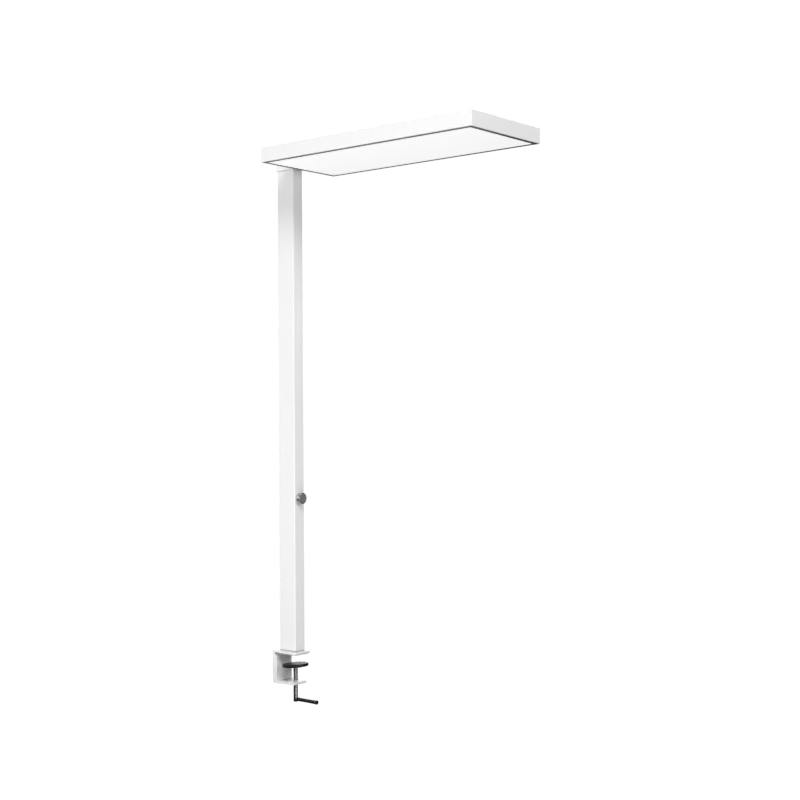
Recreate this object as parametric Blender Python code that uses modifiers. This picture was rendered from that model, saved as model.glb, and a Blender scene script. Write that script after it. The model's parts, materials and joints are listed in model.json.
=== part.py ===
"""Desk-clamp workplace luminaire.

A rectangular post stands on a screw clamp that grips the desk edge. A flat light head is cantilevered
from a swivel block on top of the post, and a dimmer knob sits on the post's front face.

Frame: the origin is on the face that rests on the desk top, under the post's axis. +X runs from the post
to the head's far end, +Z is up. Units are metres.
"""

import math

import bmesh
import bpy
from mathutils import Vector

# ---------------------------------------------------------------- driving dimensions

GAP = 0.0003                    # kept between pieces that touch
HOLE_PLAY = 0.0003              # a hole's radius over its pin's radius
SPARE = 0.002                   # how far a cutter passes the face that it cuts
BLOCK_BEVEL = 0.0008            # edges of the milled blocks

DESK_PAD_THICKNESS = 0.0015
DESK_PAD_INSET = 0.0025         # the pad's edge from the upper arm's edge

BRACKET_WIDTH = 0.049
PLATE_THICKNESS = 0.005         # the two arms
FLANGE_THICKNESS = 0.0067       # the two upright flanges
BRACKET_BACK = 0.015            # from the post's rear face back to the bracket's rear face
UPPER_ARM_REACH = 0.009         # past the post's front face
MOUTH_HEIGHT = 0.0633           # desk face to the lower arm
LOWER_ARM_FRONT = 0.025         # from the post's axis
LOWER_ARM_TIP_WIDTH = 0.040
INNER_FLANGE_DROP = 0.0045      # the inner flange's top under the upper arm
BRACKET_BEVEL = 0.0006
BRACKET_SCREW_LEVELS = (-0.020, -0.046)
BRACKET_SCREW_COVER = 0.0018    # of the inner flange left over a screw's tip

FOOT_THICKNESS = 0.0018
BASE_BLOCK_HEIGHT = 0.040
POST_SCREW_SPACING = 0.028
POST_SCREW_REACH = 0.014        # into the base block
BASE_SCREW_MARGIN = 0.008       # from the base block's top to the upper screw
BASE_SCREW_SPACING = 0.012
BASE_SCREW_LENGTH = 0.012
TOP_SCREW_LENGTH = 0.009

POST_DEPTH = 0.050              # section along X
POST_WIDTH = 0.031              # section along Y
POST_WALL = 0.002
POST_CORNER = 0.0016
POST_INNER_CORNER = 0.0006
POST_LENGTH = 1.105

M6_RADIUS = 0.003
M5_RADIUS = 0.0025
M4_RADIUS = 0.002
M3_RADIUS = 0.0015
COUNTERSINK_RATIO = 1.9         # a countersunk head's radius over its thread's
SCREW_SOCKET_RATIO = 0.55       # its socket's radius over its thread's
SCREW_SOCKET_DEPTH_RATIO = 0.8

SPINDLE_X = 0.010               # the spindle's axis from the post's axis
SPINDLE_RADIUS = 0.005
SPINDLE_CHAMFER = 0.0008
INSERT_RADIUS = 1.5 * SPINDLE_RADIUS
INSERT_COVER = 0.0012           # of the arm left over the insert
PAD_PIVOT_Z = -0.0273
PAD_RADIUS = 0.030
PAD_THICKNESS = 0.007
PAD_TOP = 0.0052                # above its pivot
PAD_SKIN = 0.0012
PAD_TOP_EDGE = 0.0024
PAD_BOTTOM_EDGE = 0.0014
PAD_CORE_RADIUS = 0.014
PAD_COLLAR_RADIUS = 0.017
PAD_COLLAR_THICKNESS = 0.0018
PAD_TILT = math.radians(4.5)    # the front edge up
BALL_RADIUS = 1.2 * SPINDLE_RADIUS
BALL_TOP = 0.4 * SPINDLE_RADIUS         # above the ball's centre
BALL_BOTTOM = -0.72 * SPINDLE_RADIUS
JOURNAL_RADIUS = 0.5 * SPINDLE_RADIUS
CLIP_RADIUS = 0.74 * SPINDLE_RADIUS
CLIP_THICKNESS = 0.0005
CLIP_PLAY = 0.0001              # over and under the clip in its groove
GROOVE_DEPTH = 0.0006
CRANK_Z = -0.1038
SPINDLE_TAIL = 0.006            # past the crank's axis
CRANK_LENGTH = 0.0682           # spindle axis to the end cap's face
CRANK_ROD_RADIUS = 0.0025
CRANK_SLEEVE_RADIUS = 0.0044
CRANK_RING_RADIUS = 0.0046
CRANK_RING_LENGTH = 0.0015
CRANK_CAP_RADIUS = 0.0048
CRANK_CAP_LENGTH = 0.0042
CRANK_CAP_CHAMFER = 0.0012
CRANK_CAP_FACE = 0.0009         # thickness of the cap over the rod's end

KNOB_Z = 0.3586
KNOB_RADIUS = 0.0128
KNOB_STANDOFF = 0.002
KNOB_DEPTH = 0.0105
KNOB_EDGE = 0.0012
KNOB_CAP_RADIUS = 0.0102
KNOB_CAP_DEPTH = 0.0012
KNOB_CAP_DISH = 0.0004
KNOB_CAP_SHY = 0.0002           # the insert's rim behind the knob's face
KNOB_HUB_WALL = 0.0015          # between the insert and the shaft's end
KNOB_SCREW_RADIUS = 0.0011
KNOB_SCREW_OFFSET = 0.0022      # from the recess's floor
KNOB_SCREW_SHY = 0.0012         # its head under the knob's side
KNOB_RECESS_RADIUS = 0.0085
KNOB_RECESS_DEPTH = 0.0035
KNOB_TRAVEL = 0.001
SHAFT_RADIUS = 0.003
BUSHING_RADIUS = 0.0045
ENCODER_SIZE = 0.014
ENCODER_DEPTH = 0.0085
NUT_FLAT_RADIUS = 0.0065
NUT_THICKNESS = 0.0022
BOARD_THICKNESS = 0.0016
BOARD_SIZE = (0.022, 0.032)
PLUNGER_LENGTH = 0.0022

INLET_Z = 0.100
INLET_CUT = (0.020, 0.027)      # across Y, along Z
INLET_FLANGE = (0.024, 0.031)
INLET_FLANGE_THICKNESS = 0.0015
INLET_DEPTH = 0.016
INLET_WALL = 0.0015
INLET_PIN = (0.0018, 0.0045)
INLET_PIN_SPACING = 0.007
INLET_PIN_OFFSET = 0.003        # across, to either side by turns
INLET_PIN_SHY = 0.003           # a pin's tip behind the post's rear face

WASHER_THICKNESS = 0.0008
TOP_BLOCK_HEIGHT = 0.028
SPIGOT_RADIUS = 0.008
SPIGOT_BORE_RADIUS = 0.0055
SPIGOT_TAIL = 0.001             # past its lock nut
BUSH_WALL = 0.0015
SPIGOT_FLANGE = (0.034, 0.022, 0.003)
STOP_HEIGHT = 0.004
STOP_RADIUS = 0.0125
STOP_PIN_ORBIT = 0.0105
STOP_PIN_RADIUS = 0.0015
STOP_PIN_REACH = 0.008          # into the top block
STOP_COLLAR_WALL = 0.0012
SWIVEL_NUT_THICKNESS = 0.005
SWIVEL_RANGE = math.radians(90)

BLOCK_OVERLAP = 0.002           # past the post's front and rear faces
BLOCK_SIDE_OVERLAP = 0.0015     # past the post's side faces
BLOCK_FLOOR = 0.008
BLOCK_CORNER = 0.002
BLOCK_EDGE = 0.0006
BLOCK_CAVITY = (0.038, 0.024)
LID_THICKNESS = 0.002
LID_INSET = 0.002
LID_EDGE = 0.0004

HEAD_LENGTH = 0.587
HEAD_WIDTH = 0.241
HEAD_HEIGHT = 0.033
HOUSING_WALL = 0.0015
FRAME_PROUD = 0.0004            # the dark frame stands below the tray's rim
HOUSING_EDGE = 0.0007
FRAME_LIP = 0.0095
FRAME_LIP_THICKNESS = 0.0014
FRAME_UPSTAND = 0.009
UPSTAND_END = 0.012             # of a frame piece left without its upstand, for the mitre
DIFFUSER_THICKNESS = 0.003
DIFFUSER_SHY = 0.0002          # its lit face above the frame's face
END_BAR = (0.012, 0.110)        # along X, along Y
HEAD_BOLT_SPACING = 0.016
HEAD_BOLT_COVER = 0.002         # of the end bar left over a bolt's tip
HEAD_BOLT_HEIGHT = 0.55         # as a share of the head's height
BOLT_HEAD_RATIO = 1.7           # a bolt head's radius over its thread's
BOLT_HEAD_LENGTH = 0.004
LED_TRAY_THICKNESS = 0.001
LED_BOARD = (0.018, 0.0016)     # width, thickness
LED_BOARD_COUNT = 3
LED_BOARD_END_MARGIN = 0.030
TERMINAL_SIZE = (0.030, 0.020, 0.012)
TERMINAL_OFFSET = 0.012         # from the end bar

DRIVER_SIZE = (0.034, 0.021, 0.260)
DRIVER_Z = 0.440
DRIVER_BEVEL = 0.0015
LEAD_RADIUS = 0.0028
LEAD_PLAY = 0.001

ROUND = 32                      # sides of a large round piece
SMALL_ROUND = 20

# ---------------------------------------------------------------- levels and places that follow from them

upper_arm_bottom = DESK_PAD_THICKNESS + GAP
upper_arm_top = upper_arm_bottom + PLATE_THICKNESS
foot_bottom = upper_arm_top + GAP
post_bottom = foot_bottom + FOOT_THICKNESS + GAP
post_top = post_bottom + POST_LENGTH
washer_bottom = post_top + GAP
head_base = washer_bottom + WASHER_THICKNESS + GAP

post_front = POST_DEPTH / 2
post_inner_depth = POST_DEPTH - 2 * POST_WALL
post_inner_width = POST_WIDTH - 2 * POST_WALL
bracket_rear = -post_front - BRACKET_BACK
inner_flange_rear = bracket_rear + FLANGE_THICKNESS + GAP
web_face = inner_flange_rear + FLANGE_THICKNESS
flange_top = upper_arm_bottom - INNER_FLANGE_DROP
lower_arm_top = -MOUTH_HEIGHT
lower_arm_bottom = lower_arm_top - PLATE_THICKNESS

top_block_bottom = post_top - TOP_BLOCK_HEIGHT
top_screw_level = post_top - TOP_BLOCK_HEIGHT / 2
stop_pin_x = -(STOP_PIN_ORBIT + STOP_PIN_RADIUS)

block_front = post_front + BLOCK_OVERLAP
head_start = block_front + GAP
led_tray_top = HEAD_HEIGHT - HOUSING_WALL - GAP         # above the head's base
led_tray_bottom = led_tray_top - LED_TRAY_THICKNESS
head_bolt_level = HEAD_HEIGHT * HEAD_BOLT_HEIGHT

# ---------------------------------------------------------------- scene and materials

for leftover in list(bpy.data.objects):
    bpy.data.objects.remove(leftover, do_unlink=True)

parts = bpy.data.collections.new("desk_clamp_luminaire")
cutters = bpy.data.collections.new("cutters")
for collection in (parts, cutters):
    bpy.context.scene.collection.children.link(collection)
cutters.hide_render = True

# linear colour, roughness, metallic
FINISHES = {
    "white_powder": ((0.84, 0.84, 0.83), 0.45, 0.0),
    "grey_gasket": ((0.45, 0.45, 0.45), 0.70, 0.0),
    "dark_frame": ((0.07, 0.07, 0.075), 0.45, 0.0),
    "opal": ((0.90, 0.90, 0.90), 0.35, 0.0),
    "satin_metal": ((0.55, 0.55, 0.56), 0.30, 1.0),
    "chrome": ((0.70, 0.70, 0.71), 0.12, 1.0),
    "zinc": ((0.60, 0.60, 0.58), 0.38, 1.0),
    "aluminium": ((0.72, 0.72, 0.73), 0.40, 1.0),
    "brass": ((0.75, 0.55, 0.25), 0.30, 1.0),
    "black_plastic": ((0.015, 0.015, 0.016), 0.45, 0.0),
    "black_rubber": ((0.020, 0.020, 0.021), 0.75, 0.0),
    "dark_cap": ((0.12, 0.12, 0.125), 0.25, 0.0),
    "white_plastic": ((0.75, 0.75, 0.74), 0.50, 0.0),
    "circuit_board": ((0.05, 0.22, 0.10), 0.50, 0.0),
    "white_board": ((0.80, 0.80, 0.78), 0.50, 0.0),
}


def material_for(name, finish):
    colour, roughness, metallic = FINISHES[finish]
    material = bpy.data.materials.new(f"{name}_{finish}")
    material.use_nodes = True
    shader = material.node_tree.nodes["Principled BSDF"]
    shader.inputs["Base Color"].default_value = (*colour, 1.0)
    shader.inputs["Roughness"].default_value = roughness
    shader.inputs["Metallic"].default_value = metallic
    return material


# ---------------------------------------------------------------- building tools


def pivot(name, location, parent=None, tilt=0.0):
    """An empty on a joint's axis; what moves with the joint hangs from it."""
    empty = bpy.data.objects.new(name, None)
    empty.empty_display_size = 0.02
    empty.location = location
    empty.rotation_euler = (0.0, tilt, 0.0)
    empty.parent = parent
    parts.objects.link(empty)
    return empty


def finish_object(obj, finish, parent):
    """Puts a solid in the parts collection, or among the cutters when it has no finish."""
    obj.parent = parent
    if finish is None:
        obj.display_type = "WIRE"
        obj.hide_render = True
        cutters.objects.link(obj)
        return obj
    parts.objects.link(obj)
    obj.data.materials.append(material_for(obj.name, finish))
    return obj


def smooth(obj, angle=math.radians(35)):
    obj.data.shade_smooth()
    obj.data.set_sharp_from_angle(angle=angle)


def box(name, x, y, z, finish, parent=None, bevel=0.0):
    """A block between two values on each axis."""
    mesh = bpy.data.meshes.new(name)
    shape = bmesh.new()
    bmesh.ops.create_cube(shape, size=1.0)
    bmesh.ops.scale(shape, vec=(x[1] - x[0], y[1] - y[0], z[1] - z[0]), verts=shape.verts)
    shape.to_mesh(mesh)
    shape.free()
    obj = bpy.data.objects.new(name, mesh)
    obj.location = [(low + high) / 2 for low, high in (x, y, z)]
    finish_object(obj, finish, parent)
    if bevel:
        add_bevel(obj, bevel)
    return obj


def add_bevel(obj, width, segments=1):
    modifier = obj.modifiers.new("edges", "BEVEL")
    modifier.width = width
    modifier.segments = segments
    modifier.limit_method = "ANGLE"
    modifier.angle_limit = math.radians(40)


def rod(name, radius, start, end, finish, parent=None, sides=SMALL_ROUND, end_radius=None):
    """A cylinder, or a cone when end_radius is given, from start to end."""
    start, end = Vector(start), Vector(end)
    mesh = bpy.data.meshes.new(name)
    shape = bmesh.new()
    bmesh.ops.create_cone(
        shape, cap_ends=True, segments=sides, radius1=radius,
        radius2=radius if end_radius is None else end_radius, depth=(end - start).length,
    )
    shape.to_mesh(mesh)
    shape.free()
    obj = bpy.data.objects.new(name, mesh)
    obj.location = (start + end) / 2
    obj.rotation_mode = "QUATERNION"
    obj.rotation_quaternion = (end - start).to_track_quat("Z", "Y")
    finish_object(obj, finish, parent)
    smooth(obj)
    return obj


def turned(name, profile, finish, parent=None, location=(0, 0, 0), along_x=False, sides=ROUND, closed=False):
    """A lathe shape. The profile is (radius, height) down the outer side, from top to bottom."""
    mesh = bpy.data.meshes.new(name)
    points = [(radius, 0.0, height) for radius, height in profile]
    edges = [(i, i + 1) for i in range(len(points) - 1)]
    if closed:
        edges.append((len(points) - 1, 0))
    mesh.from_pydata(points, edges, [])
    obj = bpy.data.objects.new(name, mesh)
    obj.location = location
    if along_x:
        obj.rotation_euler = (0.0, math.pi / 2, 0.0)
    finish_object(obj, finish, parent)
    screw = obj.modifiers.new("turn", "SCREW")
    screw.axis = "Z"
    screw.angle = math.tau
    screw.steps = screw.render_steps = sides
    screw.use_merge_vertices = True
    screw.merge_threshold = 0.00001
    screw.use_smooth_shade = True
    return obj


def ring(name, outer, inner, low, high, finish, parent=None, location=(0, 0, 0), along_x=False, sides=ROUND):
    """A plain sleeve or washer."""
    profile = [(outer, high), (outer, low), (inner, low), (inner, high)]
    return turned(name, profile, finish, parent, location, along_x, sides, closed=True)


def quarter_round(radius, level, edge, down, steps=3):
    """Profile points round an outer edge: from a top face down its side, or from its side to a bottom."""
    side = 1 if down else -1
    found = []
    for step in range(steps + 1):
        angle = step / steps * math.pi / 2
        across, along = (math.sin(angle), math.cos(angle)) if down else (math.cos(angle), math.sin(angle))
        found.append((radius - edge + edge * across, level - side * edge + side * edge * along))
    return found


def rounded_rectangle(size_x, size_y, radius, steps=4):
    points = []
    for quarter, (side_x, side_y) in enumerate(((1, 1), (-1, 1), (-1, -1), (1, -1))):
        centre = Vector((side_x * (size_x / 2 - radius), side_y * (size_y / 2 - radius)))
        for step in range(steps + 1):
            angle = (quarter + step / steps) * math.pi / 2
            points.append(centre + radius * Vector((math.cos(angle), math.sin(angle))))
    return points


def plate(name, outlines, thickness, finish, parent=None, location=(0, 0, 0), rotation=(0, 0, 0)):
    """A flat outline, with any holes as further outlines, extruded to a thickness about its middle."""
    curve = bpy.data.curves.new(name, "CURVE")
    curve.dimensions = "2D"
    curve.fill_mode = "BOTH"
    curve.extrude = thickness / 2
    for outline in outlines:
        spline = curve.splines.new("POLY")
        spline.points.add(len(outline) - 1)
        for point, (x, y) in zip(spline.points, outline):
            point.co = (x, y, 0.0, 1.0)
        spline.use_cyclic_u = True
    guide = bpy.data.objects.new(name + "_outline", curve)
    return as_mesh(guide, name, finish, parent, location, rotation)


def as_mesh(guide, name, finish, parent, location=(0, 0, 0), rotation=(0, 0, 0)):
    """Turns a curve object into a welded mesh object and removes the curve."""
    bpy.context.scene.collection.objects.link(guide)
    bpy.context.view_layer.update()
    evaluated = guide.evaluated_get(bpy.context.evaluated_depsgraph_get())
    mesh = bpy.data.meshes.new_from_object(evaluated)
    mesh.name = name
    curve = guide.data
    bpy.data.objects.remove(guide, do_unlink=True)
    bpy.data.curves.remove(curve)
    shape = bmesh.new()
    shape.from_mesh(mesh)
    bmesh.ops.remove_doubles(shape, verts=shape.verts, dist=0.000005)
    bmesh.ops.recalc_face_normals(shape, faces=shape.faces)
    shape.to_mesh(mesh)
    shape.free()
    mesh.materials.clear()
    obj = bpy.data.objects.new(name, mesh)
    obj.location = location
    obj.rotation_euler = rotation
    finish_object(obj, finish, parent)
    return obj


def lead(name, route, radius, finish, parent=None):
    """A wire along a route, smoothed by Catmull-Rom between its points."""
    points = [Vector(point) for point in route]
    ends = [2 * points[0] - points[1], *points, 2 * points[-1] - points[-2]]
    smooth_points = []
    steps = 4
    for before, start, end, after in zip(ends, ends[1:], ends[2:], ends[3:]):
        for step in range(steps):
            t = step / steps
            smooth_points.append(0.5 * (
                2 * start + (end - before) * t + (2 * before - 5 * start + 4 * end - after) * t * t
                + (3 * start - before - 3 * end + after) * t ** 3
            ))
    smooth_points.append(points[-1])
    curve = bpy.data.curves.new(name, "CURVE")
    curve.dimensions = "3D"
    curve.bevel_depth = radius
    curve.bevel_resolution = 2
    curve.use_fill_caps = True
    spline = curve.splines.new("POLY")
    spline.points.add(len(smooth_points) - 1)
    for point, place in zip(spline.points, smooth_points):
        point.co = (*place, 1.0)
    guide = bpy.data.objects.new(name + "_route", curve)
    obj = as_mesh(guide, name, finish, parent)
    smooth(obj)
    return obj


def boolean(target, other, operation="DIFFERENCE"):
    modifier = target.modifiers.new(operation.lower(), "BOOLEAN")
    modifier.operation = operation
    modifier.object = other
    modifier.solver = "EXACT"


def bore(target, radius, start, end, end_radius=None, sides=SMALL_ROUND):
    """Drills a target, in the frame of the target's parent."""
    name = f"{target.name}_bore_{len(target.modifiers)}"
    boolean(target, rod(name, radius, start, end, None, target.parent, sides, end_radius))


def pocket(target, x, y, z):
    """Mills a rectangular pocket out of a target."""
    boolean(target, box(f"{target.name}_pocket_{len(target.modifiers)}", x, y, z, None, target.parent))


def countersunk_screw(name, radius, head_at, tip, finish, parent=None):
    """A countersunk screw from the middle of its flush head face to its tip."""
    head_at, tip = Vector(head_at), Vector(tip)
    direction = (tip - head_at).normalized()
    length = (tip - head_at).length
    head_radius = radius * COUNTERSINK_RATIO
    profile = [
        (0.0, 0.0), (radius, 0.0), (radius, length - (head_radius - radius)),
        (head_radius, length), (radius * SCREW_SOCKET_RATIO, length),
        (radius * SCREW_SOCKET_RATIO, length - radius * SCREW_SOCKET_DEPTH_RATIO),
        (0.0, length - radius * SCREW_SOCKET_DEPTH_RATIO),
    ]
    obj = turned(name, profile[::-1], finish, parent, tip, sides=SMALL_ROUND)
    obj.rotation_mode = "QUATERNION"
    obj.rotation_quaternion = (-direction).to_track_quat("Z", "Y")
    return obj


def countersunk_hole(target, radius, head_at, tip):
    """The hole of that screw, with play round its thread and its head."""
    head_at, tip = Vector(head_at), Vector(tip)
    direction = (tip - head_at).normalized()
    head_radius = radius * COUNTERSINK_RATIO
    outside = head_at - SPARE * direction
    bore(target, radius + HOLE_PLAY, outside, tip + 2 * GAP * direction)
    mouth_radius = head_radius + HOLE_PLAY + SPARE
    depth = head_radius - radius + SPARE
    bore(target, mouth_radius, outside, outside + depth * direction, end_radius=mouth_radius - depth)


# ---------------------------------------------------------------- clamp brackets


def build_desk_pad():
    """Soft pad under the upper arm. Its underside is the face that rests on the desk."""
    box("desk_pad", (web_face + DESK_PAD_INSET, post_front + UPPER_ARM_REACH - DESK_PAD_INSET),
        (-BRACKET_WIDTH / 2 + DESK_PAD_INSET, BRACKET_WIDTH / 2 - DESK_PAD_INSET),
        (0.0, DESK_PAD_THICKNESS), "grey_gasket")


def bracket_screw_ends(level):
    return (bracket_rear, 0.0, level), (web_face - BRACKET_SCREW_COVER, 0.0, level)


def post_screw_ends(side):
    x = side * POST_SCREW_SPACING / 2
    return (x, 0.0, upper_arm_bottom), (x, 0.0, post_bottom + POST_SCREW_REACH)


def build_upper_bracket():
    """L-shaped: the plate that the post stands on, and the outer upright flange."""
    arm_front = post_front + UPPER_ARM_REACH
    outline = [
        (bracket_rear, lower_arm_bottom), (bracket_rear + FLANGE_THICKNESS, lower_arm_bottom),
        (bracket_rear + FLANGE_THICKNESS, upper_arm_bottom), (arm_front, upper_arm_bottom),
        (arm_front, upper_arm_top), (bracket_rear, upper_arm_top),
    ]
    bracket = plate("upper_bracket", [outline], BRACKET_WIDTH, "white_powder", rotation=(math.pi / 2, 0, 0))
    add_bevel(bracket, BRACKET_BEVEL)
    for level in BRACKET_SCREW_LEVELS:
        countersunk_hole(bracket, M6_RADIUS, *bracket_screw_ends(level))
    for side in (-1, 1):
        countersunk_hole(bracket, M6_RADIUS, *post_screw_ends(side))


def build_lower_bracket():
    """L-shaped: the inner upright flange and the tapered arm that carries the spindle."""
    outline = [
        (inner_flange_rear, lower_arm_bottom), (LOWER_ARM_FRONT, lower_arm_bottom),
        (LOWER_ARM_FRONT, lower_arm_top), (web_face, lower_arm_top),
        (web_face, flange_top), (inner_flange_rear, flange_top),
    ]
    bracket = plate("lower_bracket", [outline], BRACKET_WIDTH, "white_powder", rotation=(math.pi / 2, 0, 0))
    half, tip = BRACKET_WIDTH / 2, LOWER_ARM_TIP_WIDTH / 2
    plan = [
        (inner_flange_rear - SPARE, -half - SPARE), (web_face, -half - SPARE), (web_face, -half),
        (LOWER_ARM_FRONT, -tip), (LOWER_ARM_FRONT + SPARE, -tip), (LOWER_ARM_FRONT + SPARE, tip),
        (LOWER_ARM_FRONT, tip), (web_face, half), (web_face, half + SPARE),
        (inner_flange_rear - SPARE, half + SPARE),
    ]
    middle = (lower_arm_bottom + flange_top) / 2
    taper = plate("lower_arm_plan", [plan], flange_top - lower_arm_bottom + 2 * SPARE, None,
                  location=(0, 0, middle))
    boolean(bracket, taper, "INTERSECT")
    add_bevel(bracket, BRACKET_BEVEL)
    for level in BRACKET_SCREW_LEVELS:
        _, tip_point = bracket_screw_ends(level)
        start = (inner_flange_rear - SPARE, 0.0, level)
        bore(bracket, M6_RADIUS + HOLE_PLAY, start, Vector(tip_point) + Vector((2 * GAP, 0, 0)))
    insert_top = (SPINDLE_X, 0, lower_arm_top - INSERT_COVER)
    bore(bracket, INSERT_RADIUS + GAP, (SPINDLE_X, 0, lower_arm_bottom - SPARE), insert_top, sides=ROUND)
    bore(bracket, SPINDLE_RADIUS + GAP, insert_top, (SPINDLE_X, 0, lower_arm_top + SPARE), sides=ROUND)


def build_bracket_fasteners():
    for number, level in enumerate(BRACKET_SCREW_LEVELS, 1):
        countersunk_screw(f"bracket_screw_{number}", M6_RADIUS, *bracket_screw_ends(level), "zinc")
    for number, side in enumerate((-1, 1), 1):
        countersunk_screw(f"post_screw_{number}", M6_RADIUS, *post_screw_ends(side), "zinc")


# ---------------------------------------------------------------- clamp screw


def build_spindle_insert():
    """Threaded bush pressed into the lower arm from below."""
    ring("spindle_insert", INSERT_RADIUS, SPINDLE_RADIUS + GAP, lower_arm_bottom + GAP,
         lower_arm_top - INSERT_COVER - GAP, "zinc", location=(SPINDLE_X, 0, 0))


def build_clamp_screw():
    """The spindle turns in the lower arm; its journal carries a ball bush that the pressure pad tilts on."""
    axis = pivot("clamp_axis", (SPINDLE_X, 0, PAD_PIVOT_Z))
    build_ball_bush(axis)
    build_spindle(axis)
    build_crank(axis)
    build_pressure_pad(axis)


def build_ball_bush(axis):
    steps = 6
    low = math.asin(BALL_BOTTOM / BALL_RADIUS)
    high = math.asin(BALL_TOP / BALL_RADIUS)
    angles = [high + (low - high) * step / steps for step in range(steps + 1)]
    profile = [(BALL_RADIUS * math.cos(angle), BALL_RADIUS * math.sin(angle)) for angle in angles]
    bore_radius = JOURNAL_RADIUS + GAP
    profile += [(bore_radius, BALL_BOTTOM), (bore_radius, BALL_TOP)]
    turned("ball_bush", profile, "brass", axis, sides=24, closed=True)


def build_spindle(axis):
    shoulder = BALL_BOTTOM - GAP
    groove_low = BALL_TOP + GAP
    groove_high = groove_low + CLIP_THICKNESS + 2 * CLIP_PLAY
    groove_radius = JOURNAL_RADIUS - GROOVE_DEPTH
    tip = groove_high + GAP
    bottom = CRANK_Z - SPINDLE_TAIL - PAD_PIVOT_Z
    profile = [
        (0.0, tip), (JOURNAL_RADIUS, tip), (JOURNAL_RADIUS, groove_high), (groove_radius, groove_high),
        (groove_radius, groove_low), (JOURNAL_RADIUS, groove_low), (JOURNAL_RADIUS, shoulder),
        (SPINDLE_RADIUS, shoulder),
        (SPINDLE_RADIUS, bottom + SPINDLE_CHAMFER), (SPINDLE_RADIUS - SPINDLE_CHAMFER, bottom), (0.0, bottom),
    ]
    spindle = turned("spindle", profile, "chrome", axis)
    height = CRANK_Z - PAD_PIVOT_Z
    bore(spindle, CRANK_ROD_RADIUS + GAP, (-SPINDLE_RADIUS - SPARE, 0, height),
         (SPINDLE_RADIUS + SPARE, 0, height), sides=16)
    clip_bottom = groove_low + CLIP_PLAY
    ring("spindle_clip", CLIP_RADIUS, groove_radius + CLIP_PLAY, clip_bottom, clip_bottom + CLIP_THICKNESS,
         "zinc", axis, sides=24)


def build_crank(axis):
    """A rod through the spindle's foot, with a loose black sleeve, a bright ring and an end cap."""
    height = CRANK_Z - PAD_PIVOT_Z
    cap_start = CRANK_LENGTH - CRANK_CAP_LENGTH
    ring_end = cap_start - GAP
    sleeve_end = ring_end - CRANK_RING_LENGTH - GAP
    rod("crank_rod", CRANK_ROD_RADIUS, (-SPINDLE_RADIUS + SPINDLE_CHAMFER, 0, height),
        (CRANK_LENGTH - CRANK_CAP_FACE - GAP, 0, height), "zinc", axis, sides=16)
    grip_axis = pivot("grip_axis", (0, 0, height), axis)
    inner = CRANK_ROD_RADIUS + GAP
    ring("crank_sleeve", CRANK_SLEEVE_RADIUS, inner, SPINDLE_RADIUS + 2 * GAP, sleeve_end,
         "black_plastic", grip_axis, along_x=True, sides=24)
    ring("crank_ring", CRANK_RING_RADIUS, inner, sleeve_end + GAP, ring_end, "chrome", axis,
         location=(0, 0, height), along_x=True, sides=24)
    profile = [
        (0.0, CRANK_LENGTH), (CRANK_CAP_RADIUS - CRANK_CAP_CHAMFER, CRANK_LENGTH),
        (CRANK_CAP_RADIUS, CRANK_LENGTH - CRANK_CAP_CHAMFER), (CRANK_CAP_RADIUS, cap_start),
        (inner, cap_start), (inner, CRANK_LENGTH - CRANK_CAP_FACE), (0.0, CRANK_LENGTH - CRANK_CAP_FACE),
    ]
    turned("crank_end_cap", profile, "black_plastic", axis, (0, 0, height), along_x=True, sides=24)


def build_pressure_pad(axis):
    """Rubber cap over a steel core, held on the ball by a collar plate. It rests slightly tilted."""
    tilt = pivot("pad_tilt_axis", (0, 0, 0), axis, tilt=-PAD_TILT)
    bottom = PAD_TOP - PAD_THICKNESS
    core_top = PAD_TOP - PAD_SKIN - GAP
    profile = [(0.0, PAD_TOP)]
    profile += quarter_round(PAD_RADIUS, PAD_TOP, PAD_TOP_EDGE, down=True)
    profile += quarter_round(PAD_RADIUS, bottom, PAD_BOTTOM_EDGE, down=False)
    profile += [
        (PAD_CORE_RADIUS + GAP, bottom), (PAD_CORE_RADIUS + GAP, core_top + GAP), (0.0, core_top + GAP),
    ]
    turned("pad_cap", profile, "black_rubber", tilt)
    ring("pad_core", PAD_CORE_RADIUS, BALL_RADIUS + GAP, bottom, core_top, "zinc", tilt)
    collar_top = bottom - GAP
    throat = math.sqrt(BALL_RADIUS ** 2 - collar_top ** 2) + GAP
    ring("pad_collar", PAD_COLLAR_RADIUS, throat, collar_top - PAD_COLLAR_THICKNESS, collar_top,
         "zinc", tilt)


# ---------------------------------------------------------------- post


def build_post_foot():
    outline = rounded_rectangle(POST_DEPTH, POST_WIDTH, POST_CORNER)
    foot = plate("post_foot", [outline], FOOT_THICKNESS, "grey_gasket",
                 location=(0, 0, foot_bottom + FOOT_THICKNESS / 2))
    for side in (-1, 1):
        head, tip = post_screw_ends(side)
        bore(foot, M6_RADIUS + HOLE_PLAY, head, tip)


def base_screw_level(row):
    return post_bottom + BASE_BLOCK_HEIGHT - BASE_SCREW_MARGIN - row * BASE_SCREW_SPACING


def rear_screw_ends(level, length):
    """Head and tip of a screw through the post's rear wall, into a block inside it."""
    return (-post_front, 0.0, level), (-post_front + length, 0.0, level)


def rear_screws():
    """(name, thread radius, head, tip) of each screw in the rear face."""
    for row in (0, 1):
        ends = rear_screw_ends(base_screw_level(row), BASE_SCREW_LENGTH)
        yield f"base_block_screw_{row + 1}", M5_RADIUS, *ends
    yield "top_block_screw", M5_RADIUS, *rear_screw_ends(top_screw_level, TOP_SCREW_LENGTH)


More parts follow.
